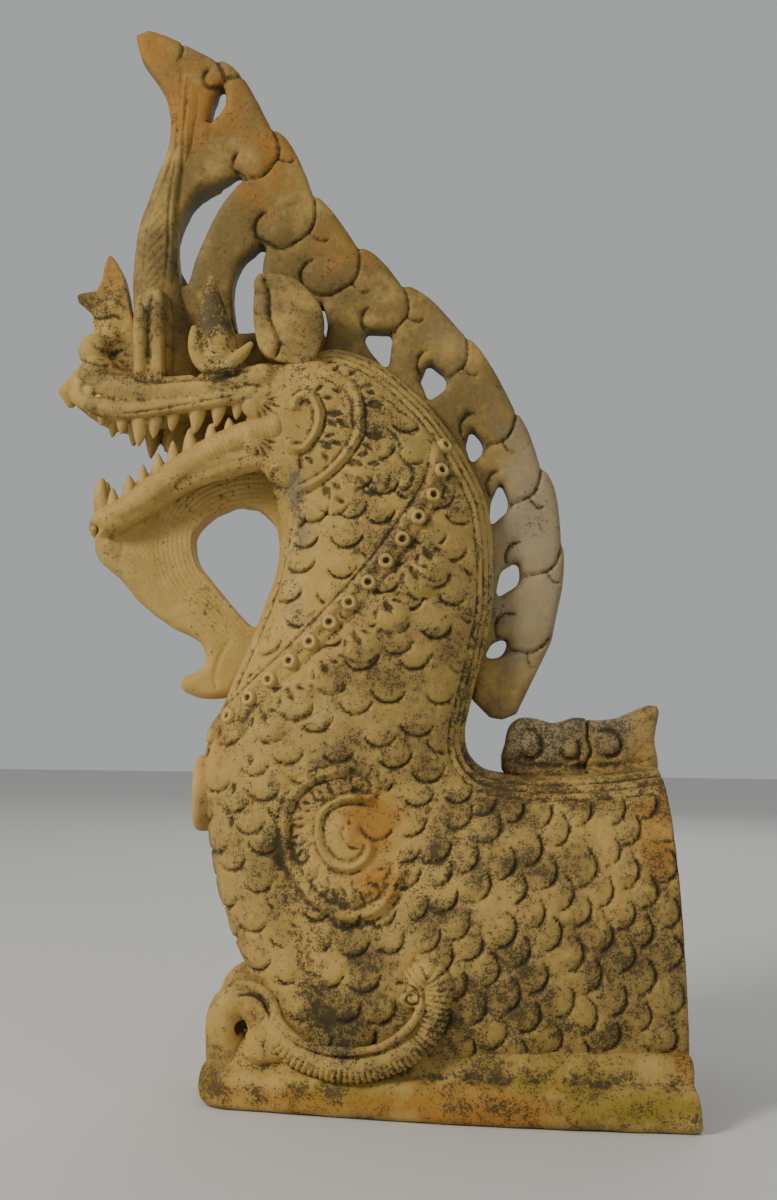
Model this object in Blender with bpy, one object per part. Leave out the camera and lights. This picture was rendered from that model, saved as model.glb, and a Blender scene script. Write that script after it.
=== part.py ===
# Fired-clay ridge beast: a crested serpent rearing up from a slab, made to be
# bedded on the end of a roof ridge. One solid, carved and modelled as one.
#
# Frame: metres, +Z up, origin at the centre of the slab's underside.
# The beast looks along -X, its cut-off rear end faces +X, and it is
# symmetric about the plane y = 0.
import math
import bpy
import bmesh
from mathutils import Vector
from mathutils.bvhtree import BVHTree

# Driving dimensions
SLAB_LENGTH = 0.306
SLAB_WIDTH = 0.200
SLAB_FRONT_WIDTH = 0.106
SLAB_TAPER = 1.7
SLAB_THICKNESS = 0.025
SLAB_FRONT_CORNER = 0.026
SLAB_EDGE_ROUND = 0.008
LEDGE_HEIGHT = 0.018
LEDGE_SETBACK = 0.012
LEDGE_SLOPE = 0.006
REAR_EDGE_SOFTENED = 0.002
FIGURE_HEIGHT = 0.683
BODY_WIDTH = 0.168
NECK_WIDTH = 0.108
HEAD_WIDTH = 0.088
CREST_THICKNESS = 0.024
BLADE_THICKNESS = 0.044
FIN_THICKNESS = 0.026
FIN_EDGE_ROUND = 0.003
FIN_CURL_RISE = 0.004
REAR_SETBACK = 0.002
SCALE_ROW = 0.021
SCALE_COLUMNS = 28
SCALE_RELIEF = 0.0034
BEAD_DIAMETER = 0.009
BEAD_HEIGHT = 0.0045
BEAD_ROOT = 0.006
STRAP_RAIL = 0.0034
DISC_DIAMETER = 0.051
DISC_THICKNESS = 0.009
EAR_THICKNESS = 0.009
POST_DIAMETER = 0.027
BAND_WIDTH = 0.020
ARCH_RADIUS = 0.0105
CURL_ROOT = 0.013

# The pose and proportions are shares of the figure's height: every figure
# coordinate below counts in parts, 683 of them from slab top to plume tip.
PARTS_HIGH = 683.0
UNIT = FIGURE_HEIGHT / PARTS_HIGH
HAIRLINE = 0.00009
FLAT_WITHIN = math.radians(4.0)
TERRACOTTA = (0.52, 0.33, 0.16, 1.0)


def figure(x, z, y=0.0):
    """A point of the figure, from parts to metres above the slab's top."""
    return Vector((x * UNIT, y * UNIT, SLAB_THICKNESS + z * UNIT))


def clear_scene():
    for old in list(bpy.data.objects):
        bpy.data.objects.remove(old, do_unlink=True)


def new_collection(name):
    made = bpy.data.collections.new(name)
    bpy.context.scene.collection.children.link(made)
    return made


def mesh_object(name, verts, faces, collection):
    mesh = bpy.data.meshes.new(name)
    mesh.from_pydata([tuple(v) for v in verts], [], faces)
    mesh.validate()
    made = bpy.data.objects.new(name, mesh)
    collection.objects.link(made)
    body = bmesh.new()
    body.from_mesh(mesh)
    bmesh.ops.recalc_face_normals(body, faces=body.faces)
    body.to_mesh(mesh)
    body.free()
    return made


def curve_to_mesh(curve_object, collection):
    """Turn a filled curve into a closed mesh object and drop the curve."""
    bpy.context.view_layer.update()
    graph = bpy.context.evaluated_depsgraph_get()
    mesh = bpy.data.meshes.new_from_object(curve_object.evaluated_get(graph))
    made = bpy.data.objects.new(curve_object.name + "_solid", mesh)
    made.matrix_world = curve_object.matrix_world.copy()
    collection.objects.link(made)
    body = bmesh.new()
    body.from_mesh(mesh)
    bmesh.ops.remove_doubles(body, verts=body.verts, dist=0.00002)
    bmesh.ops.recalc_face_normals(body, faces=body.faces)
    body.to_mesh(mesh)
    body.free()
    bpy.data.objects.remove(curve_object, do_unlink=True)
    return made


def join_all(target, group, operation):
    """Boolean a whole collection into the target, and hide what went in."""
    for piece in group.objects:
        piece.hide_render = True
        piece.display_type = "WIRE"
    change = target.modifiers.new(group.name, "BOOLEAN")
    change.operation = operation
    change.operand_type = "COLLECTION"
    change.collection = group
    change.solver = "EXACT"


def settle(target):
    """Close hair-thin edges, merge nearly flat facets and make plain triangles."""
    weld = target.modifiers.new("hairlines_closed", "WELD")
    weld.mode = "CONNECTED"
    weld.merge_threshold = HAIRLINE
    merge = target.modifiers.new("flat_facets_merged", "DECIMATE")
    merge.decimate_type = "DISSOLVE"
    merge.angle_limit = FLAT_WITHIN
    bpy.context.view_layer.update()
    graph = bpy.context.evaluated_depsgraph_get()
    mesh = bpy.data.meshes.new_from_object(target.evaluated_get(graph))
    body = bmesh.new()
    body.from_mesh(mesh)
    bmesh.ops.triangulate(body, faces=body.faces)
    # two facets that fold flat onto each other hang on an edge with four facets
    folded = {face for edge in body.edges if len(edge.link_faces) > 2
              for face in edge.link_faces if min(len(v.link_edges) for v in face.verts) == 2}
    bmesh.ops.delete(body, geom=list(folded), context="FACES")
    body.to_mesh(mesh)
    body.free()
    target.modifiers.clear()
    target.data = mesh


# Lines and outlines

def smooth_line(points, count):
    """Catmull-Rom line through the points, resampled evenly in its own index."""
    points = [Vector(p) for p in points]
    first = points[0] * 2 - points[1]
    last = points[-1] * 2 - points[-2]
    padded = [first] + points + [last]
    line = []
    for step in range(count):
        place = step * (len(points) - 1) / (count - 1)
        span = min(int(place), len(points) - 2)
        t = place - span
        a, b, c, d = padded[span:span + 4]
        line.append(0.5 * (2 * b + (c - a) * t + (2 * a - 5 * b + 4 * c - d) * t * t
                           + (3 * b - a - 3 * c + d) * t ** 3))
    return line


def even_line(points, spacing):
    """The same line cut into nearly equal steps of the given length."""
    fine = smooth_line(points, 12 * len(points))
    lengths = [0.0]
    for a, b in zip(fine, fine[1:]):
        lengths.append(lengths[-1] + (b - a).length)
    steps = max(2, round(lengths[-1] / spacing))
    line = []
    place = 0
    for step in range(steps + 1):
        want = lengths[-1] * step / steps
        while place < len(fine) - 2 and lengths[place + 1] < want:
            place += 1
        span = lengths[place + 1] - lengths[place]
        line.append(fine[place].lerp(fine[place + 1], (want - lengths[place]) / span))
    return line


def bulged(start, end, bulge, steps=3):
    """Points from start towards end on an arc that swells most near its start."""
    start = Vector(start)
    end = Vector(end)
    side = Vector((end.y - start.y, start.x - end.x)).normalized()
    return [start.lerp(end, t / steps)
            - side * bulge * math.sin(math.pi * (t / steps) ** BULGE_SKEW)
            for t in range(steps)]


def slot(spine, widths, steps=4):
    """Outline of a curved leaf-shaped cut, its spine and half widths in parts."""
    line = smooth_line([(x, z, w) for (x, z), w in zip(spine, widths)], steps)
    left = []
    right = []
    for i, here in enumerate(line):
        ahead = line[min(i + 1, steps - 1)] - line[max(i - 1, 0)]
        across = Vector((-ahead.y, ahead.x)).normalized() * max(here.z, 0.6)
        left.append((here.x + across.x, here.y + across.y))
        right.append((here.x - across.x, here.y - across.y))
    return left + right[::-1]


def side_plate(name, outline, half_thickness, collection, y=0.0, holes=(), round_by=0.0):
    """A flat form cut to an outline in the side view, with through holes."""
    curve = bpy.data.curves.new(name, "CURVE")
    curve.dimensions = "2D"
    curve.fill_mode = "BOTH"
    curve.extrude = half_thickness - round_by
    curve.bevel_depth = round_by
    curve.bevel_resolution = 0
    curve.offset = -round_by
    for ring in [outline] + list(holes):
        spline = curve.splines.new("POLY")
        spline.points.add(len(ring) - 1)
        for point, (x, z) in zip(spline.points, ring):
            place = figure(x, z)
            point.co = (place.x, place.z, 0.0, 1.0)
        spline.use_cyclic_u = True
    plate = bpy.data.objects.new(name, curve)
    plate.rotation_euler = (math.radians(90), 0.0, 0.0)
    plate.location = (0.0, y * UNIT, 0.0)
    collection.objects.link(plate)
    return curve_to_mesh(plate, collection)


def rope(name, points, radii, collection, sides=6):
    """A round form along a line of points in metres, one radius for each."""
    curve = bpy.data.curves.new(name, "CURVE")
    curve.dimensions = "3D"
    curve.bevel_depth = 1.0
    curve.bevel_resolution = max(0, sides // 2 - 2)
    curve.use_fill_caps = True
    spline = curve.splines.new("POLY")
    spline.points.add(len(points) - 1)
    for point, place, radius in zip(spline.points, points, radii):
        point.co = (place[0], place[1], place[2], 1.0)
        point.radius = radius
    made = bpy.data.objects.new(name, curve)
    collection.objects.link(made)
    return curve_to_mesh(made, collection)


def ball(name, centre, radii, collection, segments=10, rings=6):
    """An ellipsoid with its radii along x, y and z in metres."""
    body = bmesh.new()
    bmesh.ops.create_uvsphere(body, u_segments=segments, v_segments=rings, radius=1.0)
    for vert in body.verts:
        x, y, z = vert.co
        # the sphere's poles point sideways, so that its facets follow the side view
        vert.co = Vector((x * radii[0], z * radii[1], -y * radii[2])) + centre
    mesh = bpy.data.meshes.new(name)
    body.to_mesh(mesh)
    body.free()
    made = bpy.data.objects.new(name, mesh)
    collection.objects.link(made)
    return made


def cone(name, base, tip, radius, collection, sides=6, tip_radius=0.0006):
    """A pointed form from a base point to a tip, both in metres."""
    axis = tip - base
    body = bmesh.new()
    bmesh.ops.create_cone(body, cap_ends=True, segments=sides, radius1=radius,
                          radius2=tip_radius, depth=axis.length)
    turn = axis.to_track_quat("Z", "X").to_matrix()
    for vert in body.verts:
        vert.co = turn @ vert.co + (base + tip) / 2
    mesh = bpy.data.meshes.new(name)
    body.to_mesh(mesh)
    body.free()
    made = bpy.data.objects.new(name, mesh)
    collection.objects.link(made)
    return made


# Trunk: the neck and body, a loft between sections of changing shape.
# Each key section runs from the back ridge to the throat, breast or underside:
# back x, back z, front x, front z, half width, fullness at back and at front.
NECK_HALF = 0.5 * NECK_WIDTH / UNIT
BODY_HALF = 0.5 * BODY_WIDTH / UNIT
HEAD_HALF = 0.5 * HEAD_WIDTH / UNIT
REAR_X = (SLAB_LENGTH / 2 - REAR_SETBACK) / UNIT
REAR_LEAN = 13.0
UNDER = -6.0
TRUNK_KEYS = (
    (-100, 452, -118, 374, 0.62 * NECK_HALF, 0.80, 0.80),
    (-74, 462, -110, 345, 0.84 * NECK_HALF, 0.75, 0.80),
    (-41, 450, -109, 324, 0.92 * NECK_HALF, 0.75, 0.80),
    (-8, 421, -112, 306, 0.96 * NECK_HALF, 0.75, 0.80),
    (15, 388, -121, 282, 0.98 * NECK_HALF, 0.75, 0.80),
    (30, 352, -132, 254, 1.00 * NECK_HALF, 0.75, 0.80),
    (33, 300, -149, 215, 1.05 * NECK_HALF, 0.75, 0.75),
    (28, 266, -156, 190, 1.12 * NECK_HALF, 0.75, 0.70),
    (21, 238, -154, 160, 1.18 * NECK_HALF, 0.72, 0.66),
    (15, 214, -148, 118, 0.79 * BODY_HALF, 0.70, 0.60),
    (16, 199, -137, 84, 0.81 * BODY_HALF, 0.66, 0.52),
    (21, 190, -121, 50, 0.84 * BODY_HALF, 0.62, 0.46),
    (30, 184, -97, 8, 0.88 * BODY_HALF, 0.60, 0.36),
    (48, 181, -40, UNDER, 0.94 * BODY_HALF, 0.58, 0.25),
    (78, 181, 28, UNDER, 0.98 * BODY_HALF, 0.56, 0.25),
    (112, 184, 92, UNDER, BODY_HALF, 0.56, 0.25),
    (REAR_X - REAR_LEAN, 188, REAR_X, UNDER, BODY_HALF, 0.56, 0.25),
)
# soft valley between the front of the breast and the shoulder, in parts
VALLEY = ((-96, 140), (-98, 105), (-88, 75), (-74, 30))
VALLEY_DEPTH = 7.0
VALLEY_REACH = 13.0


def trunk_sections():
    """Key sections blended into staggered pairs of rings, a pair per scale row."""
    fine = smooth_line([Vector(key) for key in TRUNK_KEYS], 400)
    length = [0.0]
    for a, b in zip(fine, fine[1:]):
        step = Vector((a[0] + a[2] - b[0] - b[2], a[1] + a[3] - b[1] - b[3])) / 2
        length.append(length[-1] + step.length * UNIT)
    rows = round(length[-1] / SCALE_ROW)
    return fine, length, rows


def section_at(fine, length, want):
    want = min(max(want, 0.0), length[-1])
    low = 0
    high = len(length) - 1
    while high - low > 1:
        middle = (low + high) // 2
        if length[middle] <= want:
            low = middle
        else:
            high = middle
    t = (want - length[low]) / max(length[high] - length[low], 1e-9)
    return fine[low].lerp(fine[high], t)


def valley_depth(x, z):
    nearest = 1e9
    for a, b in zip(VALLEY, VALLEY[1:]):
        ax, az = a
        dx = b[0] - ax
        dz = b[1] - az
        t = min(max(((x - ax) * dx + (z - az) * dz) / (dx * dx + dz * dz), 0.0), 1.0)
        nearest = min(nearest, math.hypot(x - ax - dx * t, z - az - dz * t))
    return VALLEY_DEPTH * math.exp(-(nearest / VALLEY_REACH) ** 2)


def trunk_point(section, around):
    """Point of a section; around runs from 0 at the ridge to 1 at the front."""
    bx, bz, fx, fz, half, back_full, front_full = section
    angle = math.pi * around
    along = 0.5 - 0.5 * math.cos(angle)
    full = back_full if around < 0.5 else front_full
    y = half * math.sin(angle) ** full
    x = bx + (fx - bx) * along
    z = bz + (fz - bz) * along
    y -= valley_depth(x, z) * math.sin(angle)
    return x, y, z


def build_trunk(collection):
    fine, length, rows = trunk_sections()
    pitch = length[-1] / rows
    half_columns = SCALE_COLUMNS // 2
    verts = []
    rings = 0
    for row in range(rows + 1):
        for under in (0, 1):
            if row in (0, rows) and under:
                continue
            for column in range(SCALE_COLUMNS):
                side = 1.0 if column <= half_columns else -1.0
                step = column if column <= half_columns else SCALE_COLUMNS - column
                around = step / half_columns
                tip = (step + row) % 2 == 0
                scaled = 2 <= step <= half_columns - 3 and 1 < row < rows
                place = row * pitch + (0.26 * pitch if under else 0.0)
                relief = 0.0
                if scaled and not tip:
                    place -= 0.45 * pitch
                if scaled and not under:
                    relief = SCALE_RELIEF / UNIT * (0.8 if tip else 0.3)
                if scaled and under:
                    relief = -0.35 * SCALE_RELIEF / UNIT
                if step == 1:
                    relief = 0.9 * SCALE_RELIEF / UNIT
                if row in (0, rows):
                    place = row * pitch
                section = section_at(fine, length, place)
                x, y, z = trunk_point(section, around)
                spread = math.sin(math.pi * around)
                away = -math.cos(math.pi * around) * relief
                back = Vector((section[0] - section[2], section[1] - section[3])).normalized()
                y += relief * spread
                x -= back.x * away
                z -= back.y * away
                verts.append(figure(x, z, y * side))
            rings += 1
    faces = []
    for ring in range(rings - 1):
        for column in range(SCALE_COLUMNS):
            a = ring * SCALE_COLUMNS + column
            b = ring * SCALE_COLUMNS + (column + 1) % SCALE_COLUMNS
            faces.append((a, b, b + SCALE_COLUMNS, a + SCALE_COLUMNS))
    faces.append(tuple(range(SCALE_COLUMNS)))
    faces.append(tuple(range((rings - 1) * SCALE_COLUMNS, rings * SCALE_COLUMNS)))
    return mesh_object("ridge_beast", verts, faces, collection)


def side_finder(trunk):
    """A function that gives how far the trunk's side stands out at x, z."""
    tree = BVHTree.FromPolygons([v.co for v in trunk.data.vertices],
                                [p.vertices for p in trunk.data.polygons])

    def find(x, z, fallback=0.0):
        start = figure(x, z)
        start.y = 1.0
        hit = tree.ray_cast(start, Vector((0.0, -1.0, 0.0)))[0]
        if hit is None:
            return fallback
        return max(hit.y, fallback)

    return find


# Slab and the ledge on it

def slab_half(x):
    """Half the slab's width at x: full at the rear, drawn in towards the head end."""
    t = (SLAB_LENGTH / 2 - x) / SLAB_LENGTH
    return SLAB_WIDTH / 2 - (SLAB_WIDTH - SLAB_FRONT_WIDTH) / 2 * t ** SLAB_TAPER


def plan_outline(inset, rear_inset, side_steps=5, corner_steps=3):
    """Plan outline, set in from the slab's own edge by the given amounts."""
    corner_x = -SLAB_LENGTH / 2 + SLAB_FRONT_CORNER
    corner_y = slab_half(corner_x) - SLAB_FRONT_CORNER
    rear_x = SLAB_LENGTH / 2 - rear_inset
    side = []
    for step in range(side_steps):
        x = rear_x + (corner_x - rear_x) * step / side_steps
        side.append((x, slab_half(x) - inset))
    for step in range(corner_steps + 1):
        angle = math.radians(90 + 90 * step / corner_steps)
        radius = SLAB_FRONT_CORNER - inset
        side.append((corner_x + radius * math.cos(angle), corner_y + radius * math.sin(angle)))
    return side + [(x, -y) for x, y in side[::-1]]


def build_slab(collection):
    """Slab with rounded edges, and the sloped ledge that carries the body."""
    edge = SLAB_EDGE_ROUND
    top = SLAB_THICKNESS
    tiers = (
        # height, inset all round, inset at the square rear end
        (0.0, edge * 0.6, 0.0),
        (edge * 0.6, 0.0, 0.0),
        (top - edge, 0.0, 0.0),
        (top, edge, REAR_EDGE_SOFTENED),
        (top + LEDGE_HEIGHT * 0.35, LEDGE_SETBACK, 1.5 * REAR_EDGE_SOFTENED),
        (top + LEDGE_HEIGHT, LEDGE_SETBACK + LEDGE_SLOPE, 1.5 * REAR_EDGE_SOFTENED),
    )
    verts = []
    for z, inset, rear_inset in tiers:
        verts += [Vector((x, y, z)) for x, y in plan_outline(inset, rear_inset)]
    count = len(verts) // len(tiers)
    faces = [tuple(range(count)), tuple(range((len(tiers) - 1) * count, len(verts)))]
    for tier in range(len(tiers) - 1):
        for i in range(count):
            a = tier * count + i
            b = tier * count + (i + 1) % count
            faces.append((a, b, b + count, a + count))
    return mesh_object("slab", verts, faces, collection)


# Head

HEAD_KEYS = (
    # x, top z, bottom z, half width as a share of the head's
    (-248, 446, 430, 0.20),
    (-243, 455, 425, 0.34),
    (-230, 453, 418, 0.50),
    (-212, 446, 411, 0.64),
    (-190, 439, 412, 0.76),
    (-165, 441, 414, 0.88),
    (-140, 446, 416, 0.98),
    (-112, 452, 400, 1.04),
    (-88, 456, 396, 1.00),
    (-66, 450, 396, 0.84),
)


def build_upper_head(collection, sides=12):
    verts = []
    for x, top, bottom, share in HEAD_KEYS:
        half = HEAD_HALF * share
        for step in range(sides):
            angle = 2 * math.pi * step / sides
            y = math.copysign(abs(math.cos(angle)) ** 0.7, math.cos(angle)) * half
            z = math.copysign(abs(math.sin(angle)) ** 0.7, math.sin(angle))
            middle = (top + bottom) / 2
            verts.append(figure(x, middle + z * (top - bottom) / 2, y))
    count = len(HEAD_KEYS)
    faces = [tuple(range(sides)), tuple(range((count - 1) * sides, count * sides))]
    for ring in range(count - 1):
        for i in range(sides):
            a = ring * sides + i
            b = ring * sides + (i + 1) % sides
            faces.append((a, b, b + sides, a + sides))
    return mesh_object("upper_head", verts, faces, collection)


JAW_OUTLINE = (
    (-100, 404), (-128, 402), (-151, 394), (-170, 386), (-193, 366), (-209, 353),
    (-230, 350), (-233, 340), (-226, 333), (-231, 327), (-222, 314), (-196, 290),
    (-171, 272), (-158, 264), (-157, 250), (-168, 242), (-171, 236), (-164, 230),
    (-146, 228), (-138, 234), (-118, 260), (-100, 300), (-88, 350),
)
BEARD_HOLE_LEFT = ((-152, 352), (-162, 344), (-167, 332), (-164, 318), (-148, 299), (-133, 281))
BEARD_HOLE_RIGHT = ((-124, 276), (-121, 282), (-111, 311), (-109, 324), (-112, 342), (-123, 354),
                    (-137, 357))
JAW_PLATE_HALF = 15.0
JAW_ROLL_RADIUS = 10.5


def build_lower_jaw(collection):
    """Jaw and combed beard as one thick form, with the tear-shaped gap."""
    hole = list(BEARD_HOLE_LEFT) + list(BEARD_HOLE_RIGHT)
    side_plate("jaw_and_beard", JAW_OUTLINE, JAW_PLATE_HALF * UNIT, collection, holes=[hole])
    half = HEAD_HALF
    lip = [(-108, 404, 0.90), (-135, 396, 0.80), (-160, 384, 0.70), (-183, 369, 0.60),
           (-205, 352, 0.50), (-222, 344, 0.36), (-227, 342, 0.0)]
    near = [(x, z, y * half) for x, z, y in lip]
    far = [(x, z, -y * half) for x, z, y in lip[-2::-1]]
    line = smooth_line([figure(x, z, y) for x, z, y in near + far], 17)
    rope("jaw_roll", line, [JAW_ROLL_RADIUS * UNIT] * len(line), collection, sides=6)


# Teeth along one side: tip x, tip z, root height above or below, root radius
UPPER_TEETH = ((-230, 410, 12, 5), (-213, 401, 14, 5.5), (-193, 401, 15, 5),
               (-180, 405, 12, 5), (-163, 403, 14, 6), (-147, 405, 14, 6), (-134, 411, 12, 5))
LOWER_TEETH = ((-216, 368, 16, 5.5), (-204, 376, 16, 5), (-190, 386, 15, 5),
               (-178, 396, 16, 5.5), (-162, 406, 16, 5.5), (-146, 410, 14, 5))
FANG = (-229, 372, 24, 8.5)


def build_teeth(collection):
    for side in (-1.0, 1.0):
        for x, z, root, radius in UPPER_TEETH:
            share = 0.44 + 0.5 * (x + 235) / 110
            y = side * HEAD_HALF * share
            cone("upper_tooth", figure(x, z + root, y), figure(x, z, y * 0.97),
                 radius * UNIT, collection, sides=4)
        for x, z, root, radius in LOWER_TEETH:
            share = 0.42 + 0.42 * (x + 235) / 110
            y = side * HEAD_HALF * share
            cone("lower_tooth", figure(x + 2, z - root, y), figure(x, z, y * 1.03),
                 radius * UNIT, collection, sides=4)
    x, z, root, radius = FANG
    for side in (-1.0, 1.0):
        cone("fang", figure(x + 6, z - root, side * 7), figure(x, z, side * 8),
             radius * UNIT, collection, sides=5)


NOSE_HORN = (
    (-243, 445), (-224, 440), (-206, 446), (-209, 480), (-215, 505), (-221, 520), (-226, 526),
    (-231, 516), (-234, 503), (-242, 499), (-247, 496), (-240, 486), (-236, 470),
)
EAR_OUTLINE = (
    (-124, 504), (-108, 505), (-92, 496), (-83, 480), (-84, 460), (-92, 444),
    (-112, 444), (-124, 458), (-127, 482),
)


def build_head_horns(collection):
    side_plate("nose_horn", NOSE_HORN, 9 * UNIT, collection)
    beak = [figure(-236, 436), figure(-248, 438), figure(-254, 432), figure(-252, 423)]
    rope("beak", beak, [11 * UNIT, 11 * UNIT, 8 * UNIT, 3 * UNIT], collection, sides=8)
    ear_gap = HEAD_HALF - 8
    for side in (-1.0, 1.0):
        ball("nostril", figure(-236, 458, side * 12), [11 * UNIT, 9 * UNIT, 13 * UNIT],
             collection, segments=8, rings=4)
        post = [figure(-194, 436, side * 19), figure(-195, 484, side * 19),
                figure(-195, 494, side * 19), figure(-196, 499, side * 19)]
        r = POST_DIAMETER / 2
        rope("post", post, [r, r, 0.8 * r, 0.35 * r], collection, sides=8)
        horn = [(-150, 430, 15), (-150, 452, 15), (-156, 474, 12), (-157, 490, 7), (-154, 506, 2)]
        rope("eye_horn", [figure(x, z, side * 0.86 * HEAD_HALF) for x, z, _ in horn],
             [w * UNIT for _, _, w in horn], collection, sides=8)
        brow = [(-168, 448), (-164, 436), (-150, 432), (-135, 437), (-127, 448), (-131, 462)]
        line = smooth_line([figure(x, z, side * 0.98 * HEAD_HALF) for x, z in brow], 7)
        rope("brow_ring", line, [5 * UNIT] * len(line), collection, sides=4)
        side_plate("ear", EAR_OUTLINE, EAR_THICKNESS / 2, collection, y=side * ear_gap)
    ball("tongue", figure(-146, 398), [42 * UNIT, 12 * UNIT, 26 * UNIT], collection, 8, 4)


# Crest of ten plumes. Its outer edge swells between these notches.
NOTCHES = ((-160, 663), (-120, 615), (-91, 569), (-60, 533), (-30, 507), (13, 473),
           (47, 422), (64, 385), (78, 335), (73, 275))
CREST_TIP = ((-210, 664), (-214, 679), (-205, 683))
CREST_END = ((66, 257), (58, 240), (49, 221), (40, 217), (32, 218))
CREST_INSIDE = ((20, 230), (20, 268), (22, 330), (4, 386), (-20, 420), (-50, 438), (-90, 440),
                (-200, 436))
CREST_FRONT = ((-206, 455), (-208, 505), (-207, 530), (-198, 565), (-188, 600), (-188, 632))
PLUME_BULGE = (1.0, 7.0, 5.5, 3.0, 4.5, 5.5, 4.0, 3.0, 5.5, 3.5, 1.0)
BULGE_SKEW = 0.65
VOLUTES = ((-130, 595, 14), (-112, 547, 11), (-79, 516, 12), (-39, 492, 12),
           (2, 462, 12), (31, 414, 11), (50, 377, 11), (63, 328, 12), (57, 275, 12))
# open cuts between the plumes: spine points, then half widths
CREST_CUTS = (
    (((-154, 644), (-156, 632), (-162, 619)), (1.5, 4, 1)),
    (((-140, 582), (-164, 560), (-176, 529), (-176, 506)), (2, 9, 8, 2)),
    (((-124, 533), (-132, 518), (-134, 499), (-133, 474)), (2, 8, 10, 8)),
    (((-84, 494), (-85, 480), (-86, 462)), (1, 5, 3)),
    (((-45, 476), (-45, 469), (-40, 452)), (8, 9, 2)),
    (((-11, 455), (-8, 442), (-11, 430)), (2, 9, 1)),
    (((18, 410), (20, 399), (18, 388)), (1.5, 6, 1.5)),
    (((38, 374), (37, 360), (31, 347)), (1.5, 6, 1.5)),
    (((49, 321), (44, 311), (36, 299)), (2, 7, 1.5)),
    (((42, 269), (36, 263), (29, 258)), (2, 5, 1.5)),
)
GROOVE_WIDTH = 2.6
GROOVE_DEPTH = 2.2
GROOVE_FIRST_TURN = 42.0
GROOVE_TURN = 50.0


def crest_outline():
    ring = list(CREST_TIP)
    edge = [CREST_TIP[-1]] + list(NOTCHES) + [CREST_END[0]]
    for start, end, bulge in zip(edge, edge[1:], PLUME_BULGE):
        ring += [tuple(p) for p in bulged(start, end, bulge)][1 if start == CREST_TIP[-1] else 0:]
    ring += list(CREST_END) + list(CREST_INSIDE)
    ring += [(p.x, p.y) for p in smooth_line([(x, z) for x, z in CREST_FRONT], 9)]
    return ring


def groove_line(notch, centre, radius):
    """A plume's carved line: from its notch round the volute and hooked inwards."""
    start = math.atan2(notch[1] - centre[1], notch[0] - centre[0])
    outward = Vector((math.cos(start), math.sin(start)))
    points = [Vector(notch) + outward * GROOVE_WIDTH]
    for step in range(5):
        turn = start - math.radians(GROOVE_FIRST_TURN + GROOVE_TURN * step)
        reach = radius * (1.12 - 0.03 * step)
        points.append(Vector((centre[0] + reach * math.cos(turn),
                              centre[1] + reach * math.sin(turn))))
    return points


def groove_cutter(name, line, face_y, collection):
    """A V-shaped tool that follows a line on one face of the crest."""
    verts = []
    out = math.copysign(2.0, face_y)
    deep = -math.copysign(GROOVE_DEPTH, face_y)
    for i, here in enumerate(line):
        ahead = line[min(i + 1, len(line) - 1)] - line[max(i - 1, 0)]
        across = Vector((-ahead.y, ahead.x)).normalized() * GROOVE_WIDTH
        verts.append(figure(here.x + across.x, here.y + across.y, face_y + out))
        verts.append(figure(here.x - across.x, here.y - across.y, face_y + out))
        verts.append(figure(here.x, here.y, face_y + deep))
    faces = [(0, 1, 2), (len(verts) - 1, len(verts) - 2, len(verts) - 3)]
    for i in range(len(line) - 1):
        a = 3 * i
        for j in range(3):
            k = (j + 1) % 3
            faces.append((a + j, a + k, a + 3 + k, a + 3 + j))
    return mesh_object(name, verts, faces, collection)


def build_crest(clay, cutters):
    cuts = [slot(spine, widths) for spine, widths in CREST_CUTS]
    half = CREST_THICKNESS / 2
    crest = side_plate("crest", crest_outline(), half, clay, holes=cuts)
    # the top plume has a cut in place of its volute
    for number, ((x, z, radius), notch) in enumerate(zip(VOLUTES, NOTCHES[1:]), start=2):
        for side in (-1.0, 1.0):
            line = groove_line(notch, (x, z), radius)
            groove_cutter(f"groove_{number}", line, side * half / UNIT, cutters)
    join_all(crest, cutters, "DIFFERENCE")


BLADE_KEYS = (
    # z, front x, back x, half thickness as a share of the blade's
    (430, -209, -160, 1.00), (480, -211, -172, 0.96), (512, -212, -180, 0.90),
    (545, -209, -181, 0.82), (577, -199, -178, 0.74), (607, -190, -170, 0.68),
    (634, -192, -164, 0.62), (656, -204, -168, 0.56), (672, -212, -184, 0.46),
    (681, -213, -200, 0.25),
)


def build_blade(collection, sides=8):
    """Thick front plume that rises from the brow."""
    verts = []
    thick = BLADE_THICKNESS / 2 / UNIT
    for z, front, back, share in BLADE_KEYS:
        for step in range(sides):
            angle = 2 * math.pi * step / sides
            x = (front + back) / 2 + math.cos(angle) * (back - front) / 2
            verts.append(figure(x, z, math.sin(angle) * thick * share))
    count = len(BLADE_KEYS)
    faces = [tuple(range(sides)), tuple(range((count - 1) * sides, count * sides))]
    for ring in range(count - 1):
        for i in range(sides):
            a = ring * sides + i
            b = ring * sides + (i + 1) % sides
            faces.append((a, b, b + sides, a + sides))
    return mesh_object("blade", verts, faces, collection)


# Low fin on the back, and its curls
FIN_OUTLINE = (
    (42, 200), (43, 212), (49, 218), (60, 219), (75, 216), (90, 219), (102, 216), (114, 222),
    (128, 223), (141, 227), (139, 210), (138, 176), (80, 172), (45, 174),
)
FIN_CURLS = ((55, 205, 9), (98, 200, 11), (127, 208, 10))


def build_fin(collection):
    half = FIN_THICKNESS / 2
    side_plate("back_fin", FIN_OUTLINE, half, collection, round_by=FIN_EDGE_ROUND)
    for x, z, radius in FIN_CURLS:
        ball("fin_curl", figure(x, z), [radius * UNIT, half + FIN_CURL_RISE, radius * UNIT],
             collection, 8, 4)


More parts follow.
